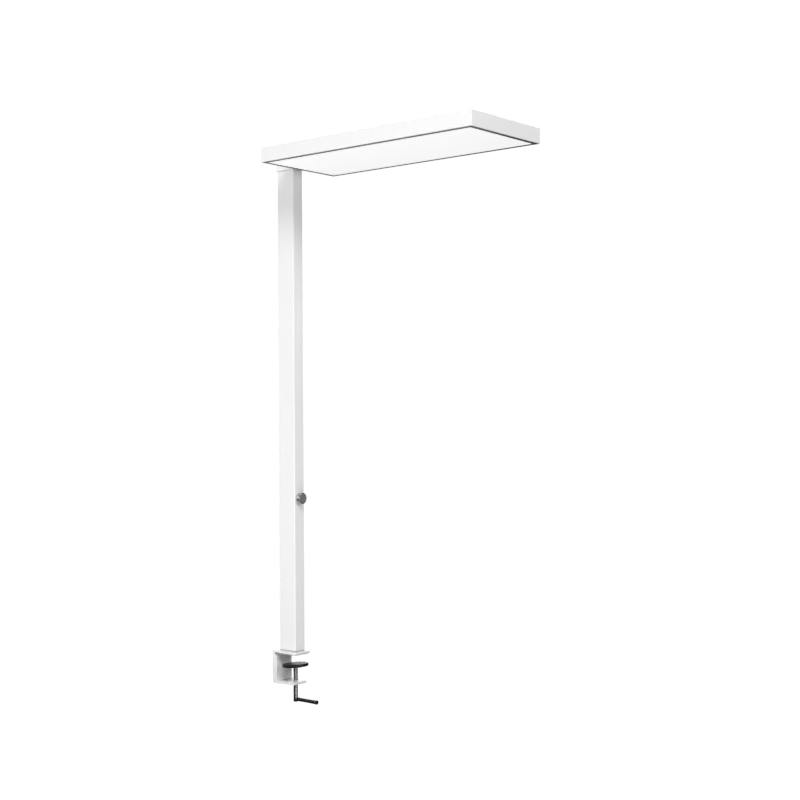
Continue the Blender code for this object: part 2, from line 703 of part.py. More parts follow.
def build_post():
    """Extruded tube, drilled for the rear screws, the dimmer's bushing and the power inlet."""
    outer = rounded_rectangle(POST_DEPTH, POST_WIDTH, POST_CORNER)
    inner = rounded_rectangle(post_inner_depth, post_inner_width, POST_INNER_CORNER, steps=1)
    post = plate("post_tube", [outer, inner], POST_LENGTH, "white_powder",
                 location=(0, 0, post_bottom + POST_LENGTH / 2))
    for name, radius, head, tip in rear_screws():
        countersunk_screw(name, radius, head, tip, "zinc")
        countersunk_hole(post, radius, head, tip)
    bore(post, BUSHING_RADIUS + GAP, (post_front - POST_WALL - SPARE, 0, KNOB_Z),
         (post_front + SPARE, 0, KNOB_Z))
    half_width, half_height = INLET_CUT[0] / 2 + GAP, INLET_CUT[1] / 2 + GAP
    pocket(post, (-post_front - SPARE, -post_front + POST_WALL + SPARE), (-half_width, half_width),
           (INLET_Z - half_height, INLET_Z + half_height))
    smooth(post)


def build_base_block():
    """Aluminium block inside the tube's foot, which the post screws pull down."""
    block = box("base_block", (-post_inner_depth / 2 + GAP, post_inner_depth / 2 - GAP),
                (-post_inner_width / 2 + GAP, post_inner_width / 2 - GAP),
                (post_bottom, post_bottom + BASE_BLOCK_HEIGHT), "aluminium", bevel=BLOCK_BEVEL)
    for side in (-1, 1):
        head, tip = post_screw_ends(side)
        bore(block, M6_RADIUS + HOLE_PLAY, head, Vector(tip) + Vector((0, 0, GAP)))
    for row in (0, 1):
        head, tip = rear_screw_ends(base_screw_level(row), BASE_SCREW_LENGTH)
        bore(block, M5_RADIUS + HOLE_PLAY, head, Vector(tip) + Vector((GAP, 0, 0)))


def build_inlet():
    """Three-pin power inlet snapped into the rear face, open to the rear."""
    half_width, half_height = INLET_CUT[0] / 2, INLET_CUT[1] / 2
    face = -post_front
    body = box("power_inlet", (face, face + INLET_DEPTH), (-half_width, half_width),
               (INLET_Z - half_height, INLET_Z + half_height), "black_plastic")
    flange = box("power_inlet_flange", (face - GAP - INLET_FLANGE_THICKNESS, face - GAP),
                 (-INLET_FLANGE[0] / 2, INLET_FLANGE[0] / 2),
                 (INLET_Z - INLET_FLANGE[1] / 2, INLET_Z + INLET_FLANGE[1] / 2), None)
    neck = box("power_inlet_neck", (face - 2 * GAP, face + SPARE), (-half_width, half_width),
               (INLET_Z - half_height, INLET_Z + half_height), None)
    boolean(body, neck, "UNION")
    boolean(body, flange, "UNION")
    outside = face - INLET_FLANGE_THICKNESS - SPARE
    floor = face + INLET_DEPTH - INLET_WALL
    pocket(body, (outside, floor), (-half_width + INLET_WALL, half_width - INLET_WALL),
           (INLET_Z - half_height + INLET_WALL, INLET_Z + half_height - INLET_WALL))
    for number, (side, row) in enumerate(((1, -1), (-1, 0), (1, 1)), 1):
        y = side * INLET_PIN_OFFSET
        level = INLET_Z + row * INLET_PIN_SPACING
        pin = box(f"inlet_pin_{number}", (face + INLET_PIN_SHY, floor + INLET_WALL / 2),
                  (y - INLET_PIN[1] / 2, y + INLET_PIN[1] / 2),
                  (level - INLET_PIN[0] / 2, level + INLET_PIN[0] / 2), None)
        boolean(body, pin, "UNION")


def build_driver():
    """Long slim driver, bonded to the rear wall inside the post."""
    rear = -post_inner_depth / 2 + GAP
    box("led_driver", (rear, rear + DRIVER_SIZE[0]), (-DRIVER_SIZE[1] / 2, DRIVER_SIZE[1] / 2),
        (DRIVER_Z, DRIVER_Z + DRIVER_SIZE[2]), "white_plastic", bevel=DRIVER_BEVEL)


def build_leads():
    """Internal leads, which sway a few millimetres: inlet to driver, and driver up through the swivel."""
    inlet_rear = -post_front + INLET_DEPTH
    driver_axis = -post_inner_depth / 2 + GAP + DRIVER_SIZE[0] / 2
    driver_top = DRIVER_Z + DRIVER_SIZE[2]
    inlet_quarter = (DRIVER_Z - INLET_Z) / 4
    lead("mains_lead", [
        (inlet_rear + GAP + LEAD_RADIUS, 0, INLET_Z), (inlet_rear + 0.006, 0.002, INLET_Z + 0.040),
        (driver_axis - 0.004, 0.003, INLET_Z + 2 * inlet_quarter),
        (driver_axis - 0.006, 0.002, INLET_Z + 3 * inlet_quarter), (driver_axis - 0.004, 0, DRIVER_Z - SPARE),
    ], LEAD_RADIUS, "black_plastic")
    upper_third = (top_block_bottom - driver_top) / 3
    lead("led_lead", [
        (driver_axis, 0, driver_top + SPARE), (driver_axis, 0.003, driver_top + 0.3 * upper_third),
        (0.003, -0.004, driver_top + upper_third), (0.002, 0.003, driver_top + 2 * upper_third),
        (0, 0, top_block_bottom - 0.020), (0, 0, top_screw_level),
        (0, 0, head_base + BLOCK_FLOOR + SPIGOT_FLANGE[2] + LEAD_PLAY),
    ], LEAD_RADIUS, "white_plastic")


# ---------------------------------------------------------------- dimmer knob


def build_dimmer():
    """Push encoder behind the front wall. The knob turns and presses in."""
    inner_face = post_front - POST_WALL - GAP
    half = ENCODER_SIZE / 2
    bushing_end = post_front + NUT_THICKNESS + GAP
    body = box("dimmer_encoder", (inner_face - ENCODER_DEPTH, inner_face), (-half, half),
               (KNOB_Z - half, KNOB_Z + half), "black_plastic")
    sleeve = rod("dimmer_sleeve", BUSHING_RADIUS, (inner_face - SPARE, 0, KNOB_Z),
                 (bushing_end, 0, KNOB_Z), None)
    boolean(body, sleeve, "UNION")
    bore(body, SHAFT_RADIUS + GAP, (inner_face - ENCODER_DEPTH - SPARE, 0, KNOB_Z),
         (bushing_end + SPARE, 0, KNOB_Z))
    board_front = inner_face - ENCODER_DEPTH - GAP
    board_width, board_height = BOARD_SIZE
    box("dimmer_board", (board_front - BOARD_THICKNESS, board_front), (-board_width / 2, board_width / 2),
        (KNOB_Z - board_height / 2, KNOB_Z + board_height / 2), "circuit_board")
    nut = rod("dimmer_nut", NUT_FLAT_RADIUS / math.cos(math.pi / 6), (post_front + GAP, 0, KNOB_Z),
              (post_front + NUT_THICKNESS, 0, KNOB_Z), "zinc", sides=6)
    bore(nut, BUSHING_RADIUS + GAP, (post_front - SPARE, 0, KNOB_Z),
         (post_front + NUT_THICKNESS + SPARE, 0, KNOB_Z))
    build_knob(board_front)


def build_knob(board_front):
    axis = pivot("knob_axis", (post_front, 0, KNOB_Z))
    knob_rear = KNOB_STANDOFF
    knob_front = KNOB_STANDOFF + KNOB_DEPTH
    cap_floor = knob_front - KNOB_CAP_DEPTH
    hub_end = cap_floor - KNOB_HUB_WALL
    bore_radius = SHAFT_RADIUS + GAP
    profile = [
        (0.0, cap_floor), (KNOB_CAP_RADIUS + GAP, cap_floor), (KNOB_CAP_RADIUS + GAP, knob_front),
        (KNOB_RADIUS - KNOB_EDGE, knob_front), (KNOB_RADIUS, knob_front - KNOB_EDGE),
        (KNOB_RADIUS, knob_rear + KNOB_EDGE / 2), (KNOB_RADIUS - KNOB_EDGE / 2, knob_rear),
        (KNOB_RECESS_RADIUS, knob_rear), (KNOB_RECESS_RADIUS, knob_rear + KNOB_RECESS_DEPTH),
        (bore_radius, knob_rear + KNOB_RECESS_DEPTH), (bore_radius, hub_end), (0.0, hub_end),
    ]
    knob = turned("knob", profile, "satin_metal", axis, along_x=True, sides=48)
    screw_x = knob_rear + KNOB_RECESS_DEPTH + KNOB_SCREW_OFFSET
    bore(knob, KNOB_SCREW_RADIUS + HOLE_PLAY, (screw_x, 0, -KNOB_RADIUS - SPARE),
         (screw_x, 0, -bore_radius + SPARE / 2), sides=12)
    rod("knob_screw", KNOB_SCREW_RADIUS, (screw_x, 0, -KNOB_RADIUS + KNOB_SCREW_SHY),
        (screw_x, 0, -bore_radius), "zinc", axis, sides=12)
    rim = knob_front - KNOB_CAP_SHY
    turned("knob_cap", [
        (0.0, rim - KNOB_CAP_DISH), (KNOB_CAP_RADIUS * 0.6, rim - KNOB_CAP_DISH * 0.8),
        (KNOB_CAP_RADIUS, rim), (KNOB_CAP_RADIUS, cap_floor + GAP), (0.0, cap_floor + GAP),
    ], "dark_cap", axis, along_x=True, sides=48)
    plunger_rear = board_front - post_front + KNOB_TRAVEL + 2 * GAP
    plunger_front = plunger_rear + PLUNGER_LENGTH
    rod("dimmer_shaft", SHAFT_RADIUS, (plunger_front + GAP, 0, 0), (hub_end - GAP, 0, 0), "brass", axis)
    rod("dimmer_plunger", SHAFT_RADIUS - GAP, (plunger_rear, 0, 0), (plunger_front, 0, 0),
        "white_plastic", axis, sides=12)


# ---------------------------------------------------------------- swivel


def build_swivel_fixed():
    """What stays on the post: top block, bush, washer and stop pin."""
    bush_outer = SPIGOT_RADIUS + GAP + BUSH_WALL
    block = box("top_block", (-post_inner_depth / 2 + GAP, post_inner_depth / 2 - GAP),
                (-post_inner_width / 2 + GAP, post_inner_width / 2 - GAP),
                (top_block_bottom, post_top), "aluminium", bevel=BLOCK_BEVEL)
    bore(block, bush_outer + GAP, (0, 0, top_block_bottom - SPARE), (0, 0, post_top + SPARE), sides=ROUND)
    head, tip = rear_screw_ends(top_screw_level, TOP_SCREW_LENGTH)
    bore(block, M5_RADIUS + HOLE_PLAY, head, Vector(tip) + Vector((GAP, 0, 0)))
    pin_top = top_block_bottom + STOP_PIN_REACH
    bore(block, STOP_PIN_RADIUS + GAP, (stop_pin_x, 0, top_block_bottom - SPARE),
         (stop_pin_x, 0, pin_top + GAP), sides=12)
    rod("stop_pin", STOP_PIN_RADIUS, (stop_pin_x, 0, top_block_bottom - STOP_HEIGHT),
        (stop_pin_x, 0, pin_top), "zinc", sides=12)
    ring("swivel_bush", bush_outer, SPIGOT_RADIUS + GAP, top_block_bottom, post_top, "black_plastic")
    outline = rounded_rectangle(POST_DEPTH - 2 * GAP, POST_WIDTH - 2 * GAP, POST_CORNER)
    washer = plate("swivel_washer", [outline], WASHER_THICKNESS, "white_plastic",
                   location=(0, 0, washer_bottom + WASHER_THICKNESS / 2))
    bore(washer, SPIGOT_RADIUS + GAP, (0, 0, washer_bottom - SPARE), (0, 0, head_base + SPARE), sides=ROUND)


def build_spigot(head):
    """Hollow spigot that hangs from the block, with its stop collar and lock nut under the top block."""
    flange_bottom = BLOCK_FLOOR + GAP
    length_x, length_y, thickness = SPIGOT_FLANGE
    collar_top = top_block_bottom - head_base - GAP
    collar_bottom = collar_top - STOP_HEIGHT
    nut_top = collar_bottom - GAP
    bottom = nut_top - SWIVEL_NUT_THICKNESS - SPIGOT_TAIL
    spigot = box("swivel_spigot", (-length_x / 2, length_x / 2), (-length_y / 2, length_y / 2),
                 (flange_bottom, flange_bottom + thickness), "zinc", head)
    shank = rod("spigot_shank", SPIGOT_RADIUS, (0, 0, bottom), (0, 0, flange_bottom + thickness / 2),
                None, head, sides=ROUND)
    boolean(spigot, shank, "UNION")
    bore(spigot, SPIGOT_BORE_RADIUS, (0, 0, bottom - SPARE), (0, 0, flange_bottom + thickness + SPARE),
         sides=24)

    pin_half_angle = math.asin((STOP_PIN_RADIUS + GAP) / STOP_PIN_ORBIT)
    lug_half = math.pi - SWIVEL_RANGE - pin_half_angle - math.radians(1)
    hub = SPIGOT_RADIUS + GAP + STOP_COLLAR_WALL
    inner = SPIGOT_RADIUS + GAP
    steps = 16
    outline = []
    for step in range(steps + 1):
        angle = -lug_half + 2 * lug_half * step / steps
        outline.append((STOP_RADIUS * math.cos(angle), STOP_RADIUS * math.sin(angle)))
    for step in range(steps + 1):
        angle = lug_half + (math.tau - 2 * lug_half) * step / steps
        outline.append((hub * math.cos(angle), hub * math.sin(angle)))
    hole = [(inner * math.cos(i * math.tau / 24), inner * math.sin(i * math.tau / 24)) for i in range(24)]
    plate("stop_collar", [outline, hole], STOP_HEIGHT, "zinc", head,
          location=(0, 0, (collar_top + collar_bottom) / 2))
    ring("swivel_nut", STOP_RADIUS, inner, nut_top - SWIVEL_NUT_THICKNESS, nut_top, "brass", head, sides=24)


def build_head_block(head):
    """Hollow block over the post, which carries the head on its front wall."""
    half_x, half_y = block_front, POST_WIDTH / 2 + BLOCK_SIDE_OVERLAP
    outline = rounded_rectangle(2 * half_x, 2 * half_y, BLOCK_CORNER)
    block = plate("head_block", [outline], HEAD_HEIGHT, "white_powder", head, (0, 0, HEAD_HEIGHT / 2))
    add_bevel(block, BLOCK_EDGE)
    cavity_x, cavity_y = BLOCK_CAVITY[0] / 2, BLOCK_CAVITY[1] / 2
    pocket(block, (-cavity_x, cavity_x), (-cavity_y, cavity_y), (BLOCK_FLOOR, HEAD_HEIGHT + SPARE))
    lid_x, lid_y = half_x - LID_INSET, half_y - LID_INSET
    lid_floor = HEAD_HEIGHT - LID_THICKNESS - GAP
    pocket(block, (-lid_x - GAP, lid_x + GAP), (-lid_y - GAP, lid_y + GAP), (lid_floor, HEAD_HEIGHT + SPARE))
    bore(block, SPIGOT_RADIUS + GAP, (0, 0, -SPARE), (0, 0, BLOCK_FLOOR + SPARE), sides=ROUND)
    box("block_lid", (-lid_x, lid_x), (-lid_y, lid_y), (lid_floor + GAP, HEAD_HEIGHT), "white_powder", head,
        bevel=LID_EDGE)
    bore_for_bolts_and_lead(block, cavity_x - SPARE, half_x + SPARE)


def head_bolt_offsets():
    return [side * HEAD_BOLT_SPACING / 2 for side in (-1, 1)]


def bore_for_bolts_and_lead(piece, start_x, end_x):
    """The two bolt holes and the lead's hole between them, through one wall of the block or the head."""
    for y in head_bolt_offsets():
        bore(piece, M4_RADIUS + HOLE_PLAY, (start_x, y, head_bolt_level), (end_x, y, head_bolt_level),
             sides=16)
    bore(piece, LEAD_RADIUS + LEAD_PLAY, (start_x, 0, head_bolt_level), (end_x, 0, head_bolt_level))


def build_head_bolts(head):
    """Bolts from the block's cavity into the bar inside the head."""
    start = BLOCK_CAVITY[0] / 2
    length = head_start + HOUSING_WALL + GAP + END_BAR[0] - HEAD_BOLT_COVER - start
    bolt_head = M4_RADIUS * BOLT_HEAD_RATIO
    profile = [
        (0.0, length), (M4_RADIUS, length), (M4_RADIUS, -GAP), (bolt_head, -GAP),
        (bolt_head, -GAP - BOLT_HEAD_LENGTH), (0.0, -GAP - BOLT_HEAD_LENGTH),
    ]
    for number, y in enumerate(head_bolt_offsets(), 1):
        turned(f"head_bolt_{number}", profile, "zinc", head, (start, y, head_bolt_level), along_x=True,
               sides=16)


# ---------------------------------------------------------------- light head


def build_housing(head):
    """White tray, open underneath. Its end wall passes the bolts and the lead."""
    end_x = head_start + HEAD_LENGTH
    half = HEAD_WIDTH / 2
    housing = box("head_housing", (head_start, end_x), (-half, half), (FRAME_PROUD, HEAD_HEIGHT),
                  "white_powder", head, bevel=HOUSING_EDGE)
    pocket(housing, (head_start + HOUSING_WALL, end_x - HOUSING_WALL),
           (-half + HOUSING_WALL, half - HOUSING_WALL), (-SPARE, HEAD_HEIGHT - HOUSING_WALL))
    bar_start = head_start + HOUSING_WALL + GAP
    bar_end = bar_start + END_BAR[0]
    bar = box("head_end_bar", (bar_start, bar_end), (-END_BAR[1] / 2, END_BAR[1] / 2),
              (FRAME_UPSTAND + GAP, led_tray_bottom - GAP), "aluminium", head)
    for piece in (housing, bar):
        bore_for_bolts_and_lead(piece, head_start - SPARE, bar_end + SPARE)


def build_frame_and_diffuser(head):
    """Dark mitred frame profiles under the tray, and the opal sheet that lies on their lips."""
    inside = HOUSING_WALL + GAP
    x_low, x_high = head_start + inside, head_start + HEAD_LENGTH - inside
    y_high = HEAD_WIDTH / 2 - inside
    mitre_gap = GAP * math.sqrt(2) / 2

    def profile_piece(name, corners):
        return plate(name, [corners], FRAME_LIP_THICKNESS, "dark_frame", head,
                     (0, 0, FRAME_LIP_THICKNESS / 2))

    for name, side in (("frame_long_left", -1), ("frame_long_right", 1)):
        outer, inner = side * y_high, side * (y_high - FRAME_LIP)
        corners = [
            (x_low + mitre_gap, outer), (x_high - mitre_gap, outer),
            (x_high - FRAME_LIP - mitre_gap, inner), (x_low + FRAME_LIP + mitre_gap, inner),
        ]
        piece = profile_piece(name, corners if side < 0 else corners[::-1])
        upstand = box(name + "_upstand", (x_low + UPSTAND_END, x_high - UPSTAND_END),
                      sorted((outer, outer - side * HOUSING_WALL)), (GAP, FRAME_UPSTAND), None, head)
        boolean(piece, upstand, "UNION")
    for name, side, outer in (("frame_end_post", 1, x_low), ("frame_end_far", -1, x_high)):
        inner = outer + side * FRAME_LIP
        corners = [
            (outer, -y_high + mitre_gap), (inner, -y_high + FRAME_LIP + mitre_gap),
            (inner, y_high - FRAME_LIP - mitre_gap), (outer, y_high - mitre_gap),
        ]
        piece = profile_piece(name, corners if side > 0 else corners[::-1])
        upstand = box(name + "_upstand", sorted((outer, outer + side * HOUSING_WALL)),
                      (-y_high + UPSTAND_END, y_high - UPSTAND_END), (GAP, FRAME_UPSTAND), None, head)
        boolean(piece, upstand, "UNION")
    rim = HOUSING_WALL + 2 * GAP
    sheet_bottom = FRAME_LIP_THICKNESS + GAP
    diffuser = box("diffuser", (x_low + rim, x_high - rim), (-y_high + rim, y_high - rim),
                   (sheet_bottom, DIFFUSER_SHY + DIFFUSER_THICKNESS), "opal", head)
    opening = FRAME_LIP + 2 * GAP
    window = box("diffuser_window", (x_low + opening, x_high - opening),
                 (-y_high + opening, y_high - opening), (DIFFUSER_SHY, sheet_bottom + SPARE / 4), None, head)
    boolean(diffuser, window, "UNION")


def build_light_engine(head):
    """White tray sheet under the roof, with the LED boards on it, and the terminal block."""
    inside = HOUSING_WALL + GAP
    bar_end = head_start + inside + END_BAR[0] + GAP
    x_low, x_high = head_start + inside, head_start + HEAD_LENGTH - inside
    y_high = HEAD_WIDTH / 2 - inside
    box("led_tray", (x_low, x_high), (-y_high, y_high), (led_tray_bottom, led_tray_top), "white_board", head)
    terminal_x = bar_end + TERMINAL_OFFSET
    length, width, height = TERMINAL_SIZE
    board_top = led_tray_bottom - GAP
    pitch = HEAD_WIDTH / LED_BOARD_COUNT
    for number in range(LED_BOARD_COUNT):
        y = (number - (LED_BOARD_COUNT - 1) / 2) * pitch
        box(f"led_board_{number + 1}", (terminal_x + width + GAP, x_high - LED_BOARD_END_MARGIN),
            (y - LED_BOARD[0] / 2, y + LED_BOARD[0] / 2), (board_top - LED_BOARD[1], board_top),
            "white_board", head)
    box("terminal_block", (terminal_x, terminal_x + width), (-length / 2, length / 2),
        (led_tray_bottom - GAP - height, led_tray_bottom - GAP), "white_plastic", head, bevel=BLOCK_BEVEL)
    level = head_bolt_level
    lead("head_lead", [
        (SPIGOT_BORE_RADIUS + SPARE, 0, level), (BLOCK_CAVITY[0] / 2, 0, level), (block_front, 0, level),
        (bar_end + SPARE, 0, level), (terminal_x - GAP, 0, level),
    ], LEAD_RADIUS, "white_plastic", head)


# ---------------------------------------------------------------- assembly

build_desk_pad()
build_upper_bracket()
build_lower_bracket()
build_bracket_fasteners()
build_spindle_insert()
build_clamp_screw()
build_post_foot()
build_post()
build_base_block()
build_inlet()
build_driver()
build_dimmer()
build_swivel_fixed()
build_leads()

head_axis = pivot("head_swivel_axis", (0, 0, head_base))
build_spigot(head_axis)
build_head_block(head_axis)
build_head_bolts(head_axis)
build_housing(head_axis)
build_frame_and_diffuser(head_axis)
build_light_engine(head_axis)
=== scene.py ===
# %% [markdown]
# # A desk clamp luminaire, finished for rendering
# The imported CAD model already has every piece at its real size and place. This file gives each piece
# its finish, and rebuilds the pieces whose fine surface matters: the threaded spindle, the moulded pad,
# the turned knob, the crank and the power inlet. We start with the frame and three small tools.

import json
import math

import bmesh
import bpy
from mathutils import Matrix, Vector


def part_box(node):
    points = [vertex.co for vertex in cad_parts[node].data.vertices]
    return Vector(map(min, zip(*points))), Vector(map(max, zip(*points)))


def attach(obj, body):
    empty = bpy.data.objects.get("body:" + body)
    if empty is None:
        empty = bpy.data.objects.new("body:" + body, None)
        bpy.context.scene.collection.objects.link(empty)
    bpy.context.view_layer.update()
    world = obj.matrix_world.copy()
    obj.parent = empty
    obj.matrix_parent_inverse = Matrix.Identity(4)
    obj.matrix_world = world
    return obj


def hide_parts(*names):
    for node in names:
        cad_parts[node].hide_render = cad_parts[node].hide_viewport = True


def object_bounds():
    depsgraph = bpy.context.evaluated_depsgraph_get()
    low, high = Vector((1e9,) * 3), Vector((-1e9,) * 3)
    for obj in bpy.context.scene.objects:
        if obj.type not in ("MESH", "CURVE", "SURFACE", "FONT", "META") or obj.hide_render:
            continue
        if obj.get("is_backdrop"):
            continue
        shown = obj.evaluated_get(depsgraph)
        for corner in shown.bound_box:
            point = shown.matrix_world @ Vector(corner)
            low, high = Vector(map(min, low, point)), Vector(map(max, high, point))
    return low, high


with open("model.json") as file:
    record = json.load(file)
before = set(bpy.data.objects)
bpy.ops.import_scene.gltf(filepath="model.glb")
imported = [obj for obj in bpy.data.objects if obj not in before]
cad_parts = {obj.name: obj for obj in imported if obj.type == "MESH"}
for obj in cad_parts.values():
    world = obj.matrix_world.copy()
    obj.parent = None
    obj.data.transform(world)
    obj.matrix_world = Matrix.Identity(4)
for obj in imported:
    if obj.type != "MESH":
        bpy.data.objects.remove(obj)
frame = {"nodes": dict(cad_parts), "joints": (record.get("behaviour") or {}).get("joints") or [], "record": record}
cad_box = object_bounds()
nodes = frame["nodes"]
joints = {joint["name"]: joint for joint in frame["joints"]}
mounts = {mount["name"]: mount for mount in frame["record"]["mounts"]}
MM = 0.001

# %% [markdown]
# ## Three tools for finishes
# Paint makers give colours as sRGB hex values, but Cycles adds up light, so it wants linear numbers:
# one function turns the first into the second. A node tree could be built by hand in the shader editor.
# Here one small function adds a node with its settings and its links, so a whole finish reads as a list.
# Patterns are sized by what they are on the real surface, in millimetres: a texture's scale is how many
# of its features fit in one metre, because the frame's coordinates are metres.

# %% Colour, nodes and pattern scale
def linear(hex_code):
    """An sRGB hex colour as linear RGBA."""
    channels = [int(hex_code[i:i + 2], 16) / 255 for i in (1, 3, 5)]
    return (*[c / 12.92 if c <= 0.04045 else ((c + 0.055) / 1.055) ** 2.4 for c in channels], 1.0)


def add(tree, kind, inputs=(), **settings):
    """Adds a node. Each input is (socket, value), and the value may be another node's output."""
    made = tree.nodes.new(kind)
    for setting, value in settings.items():
        setattr(made, setting, value)
    for socket, value in inputs:
        if isinstance(value, bpy.types.NodeSocket):
            tree.links.new(value, made.inputs[socket])
        else:
            made.inputs[socket].default_value = value
    return made


def per_metre(millimetres):
    """The texture scale whose features are that far apart."""
    return 1.0 / (millimetres * MM)


print("white paint #EEEEEE is", [round(c, 3) for c in linear("#EEEEEE")])

# %% [markdown]
# ## A finish starts as a Principled shader
# Blender's Principled shader covers paint, plastic and metal, so every finish here starts from it.
# What is the same all over the surface is typed into its own sockets, and only what varies is linked.

# %% A finish with its even values
def new_finish(name, base, roughness, metallic=0.0, **even_values):
    """A material and its shader, with the values that are the same all over."""
    finish = bpy.data.materials.new(name)
    finish.use_nodes = True
    shader = finish.node_tree.nodes["Principled BSDF"]
    shader.inputs["Base Color"].default_value = linear(base)
    shader.inputs["Roughness"].default_value = roughness
    shader.inputs["Metallic"].default_value = metallic
    for socket, value in even_values.items():
        shader.inputs[socket.replace("_", " ")].default_value = value
    return finish, finish.node_tree, shader


print("finishes start from", len(bpy.data.materials), "CAD materials that they will take over from")

# %% [markdown]
# ## Polyester powder coat, satin white
# The brackets, post, block and tray are steel and aluminium with a baked powder coat. The powder melts
# and flows, but not quite flat: low rounded waves about 2 mm across, called orange peel, with a finer
# grain on top. They hardly show face on, and they break up long reflections. A displaced mesh could
# make them, at millions of faces. A bump does it for nothing. IOR 1.5 is usual for polyester.

# %% Powder coat
ORANGE_PEEL_MM = 2.2
POWDER_GRAIN_MM = 0.35
FILM_DRIFT_MM = 90


def powder_coat():
    finish, tree, shader = new_finish("polyester_powder_coat_white", "#EEEEEE", 0.42, IOR=1.5)
    place = add(tree, "ShaderNodeTexCoord").outputs["Object"]
    peel = add(tree, "ShaderNodeTexNoise", [("Vector", place), ("Scale", per_metre(ORANGE_PEEL_MM)),
                                            ("Detail", 1.0)])
    grain = add(tree, "ShaderNodeTexNoise", [("Vector", place), ("Scale", per_metre(POWDER_GRAIN_MM)),
                                             ("Detail", 2.0)])
    # Film thickness drifts over a hand's breadth, and with it the gloss, by a few hundredths.
    drift = add(tree, "ShaderNodeTexNoise", [("Vector", place), ("Scale", per_metre(FILM_DRIFT_MM)),
                                             ("Detail", 2.0)])
    gloss = add(tree, "ShaderNodeMapRange", [("Value", drift.outputs["Fac"]), ("To Min", 0.38),
                                             ("To Max", 0.47)])
    tone = add(tree, "ShaderNodeMix", [("Factor", drift.outputs["Fac"]), ("A", linear("#ECECEC")),
                                       ("B", linear("#F0F0F0"))], data_type="RGBA")
    waves = add(tree, "ShaderNodeBump", [("Height", peel.outputs["Fac"]), ("Distance", 0.03 * MM),
                                         ("Strength", 0.5)])
    bump = add(tree, "ShaderNodeBump", [("Height", grain.outputs["Fac"]), ("Distance", 0.008 * MM),
                                        ("Strength", 0.5), ("Normal", waves.outputs["Normal"])])
    tree.links.new(gloss.outputs["Result"], shader.inputs["Roughness"])
    tree.links.new(tone.outputs["Result"], shader.inputs["Base Color"])
    tree.links.new(bump.outputs["Normal"], shader.inputs["Normal"])
    return finish


powder_white = powder_coat()
print(powder_white.name, "with peel", ORANGE_PEEL_MM, "mm and grain", POWDER_GRAIN_MM, "mm")

# %% [markdown]
# ## Extruded aluminium, anodised graphite, and painted shade
# The thin frame round the light is an extruded profile, dyed dark in the anodising bath. Its dark grey is also
# painted shade: it is set darker so that the frame's downward face reads as shaded. The die leaves fine straight
# lines along it, a few tenths of a millimetre apart. A wave texture stretched along the profile would repeat,
# so noise squeezed across the profile is used: long streaks, no visible repeat.
# The two long pieces run along X and the two end pieces along Y, so the streaks need a direction.

# %% Anodised frame
DIE_LINE_MM = 0.4
STREAK_LENGTH_MM = 60


# The base and streak greys are partly the frame's dark anodising and partly painted shade on its downward face.
def graphite_and_painted_shade(name, along):
    finish, tree, shader = new_finish(name, "#5A5B5E", 0.38, metallic=0.35)
    place = add(tree, "ShaderNodeTexCoord").outputs["Object"]
    scale = [per_metre(DIE_LINE_MM)] * 3
    scale["XYZ".index(along)] = per_metre(STREAK_LENGTH_MM)
    stretched = add(tree, "ShaderNodeMapping", [("Vector", place), ("Scale", scale)])
    lines = add(tree, "ShaderNodeTexNoise", [("Vector", stretched.outputs["Vector"]), ("Scale", 1.0),
                                             ("Detail", 3.0)])
    tone = add(tree, "ShaderNodeMix", [("Factor", lines.outputs["Fac"]), ("A", linear("#545558")),
                                       ("B", linear("#616265"))], data_type="RGBA")
    gloss = add(tree, "ShaderNodeMapRange", [("Value", lines.outputs["Fac"]), ("To Min", 0.32),
                                             ("To Max", 0.46)])
    bump = add(tree, "ShaderNodeBump", [("Height", lines.outputs["Fac"]), ("Distance", 0.01 * MM),
                                        ("Strength", 0.6)])
    tree.links.new(tone.outputs["Result"], shader.inputs["Base Color"])
    tree.links.new(gloss.outputs["Result"], shader.inputs["Roughness"])
    tree.links.new(bump.outputs["Normal"], shader.inputs["Normal"])
    return finish


frame_along_x = graphite_and_painted_shade("anodised_graphite_along_x", "X")
frame_along_y = graphite_and_painted_shade("anodised_graphite_along_y", "Y")
print("die lines", DIE_LINE_MM, "mm apart on", frame_along_x.name, "and", frame_along_y.name)

# %% [markdown]
# ## Opal acrylic, lit
# The diffuser is cast acrylic filled with fine white particles and satin on its lower face. Behind it
# the boards are on, so it glows evenly and reads almost white. Real light could be sent through a
# scattering volume, which is slow and noisy. A white satin surface that gives off its own light looks
# the same from outside, and it also lights the post beside it. The boards' rows leave a trace of
# unevenness, about one part in a hundred, three bands across the sheet.

# %% Opal diffuser
diffuser_low, diffuser_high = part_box("diffuser")
DIFFUSER_GLOW = 0.43
SATIN_GRAIN_MM = 0.6
BOARD_ROWS = 3
ROW_TRACE = 0.01


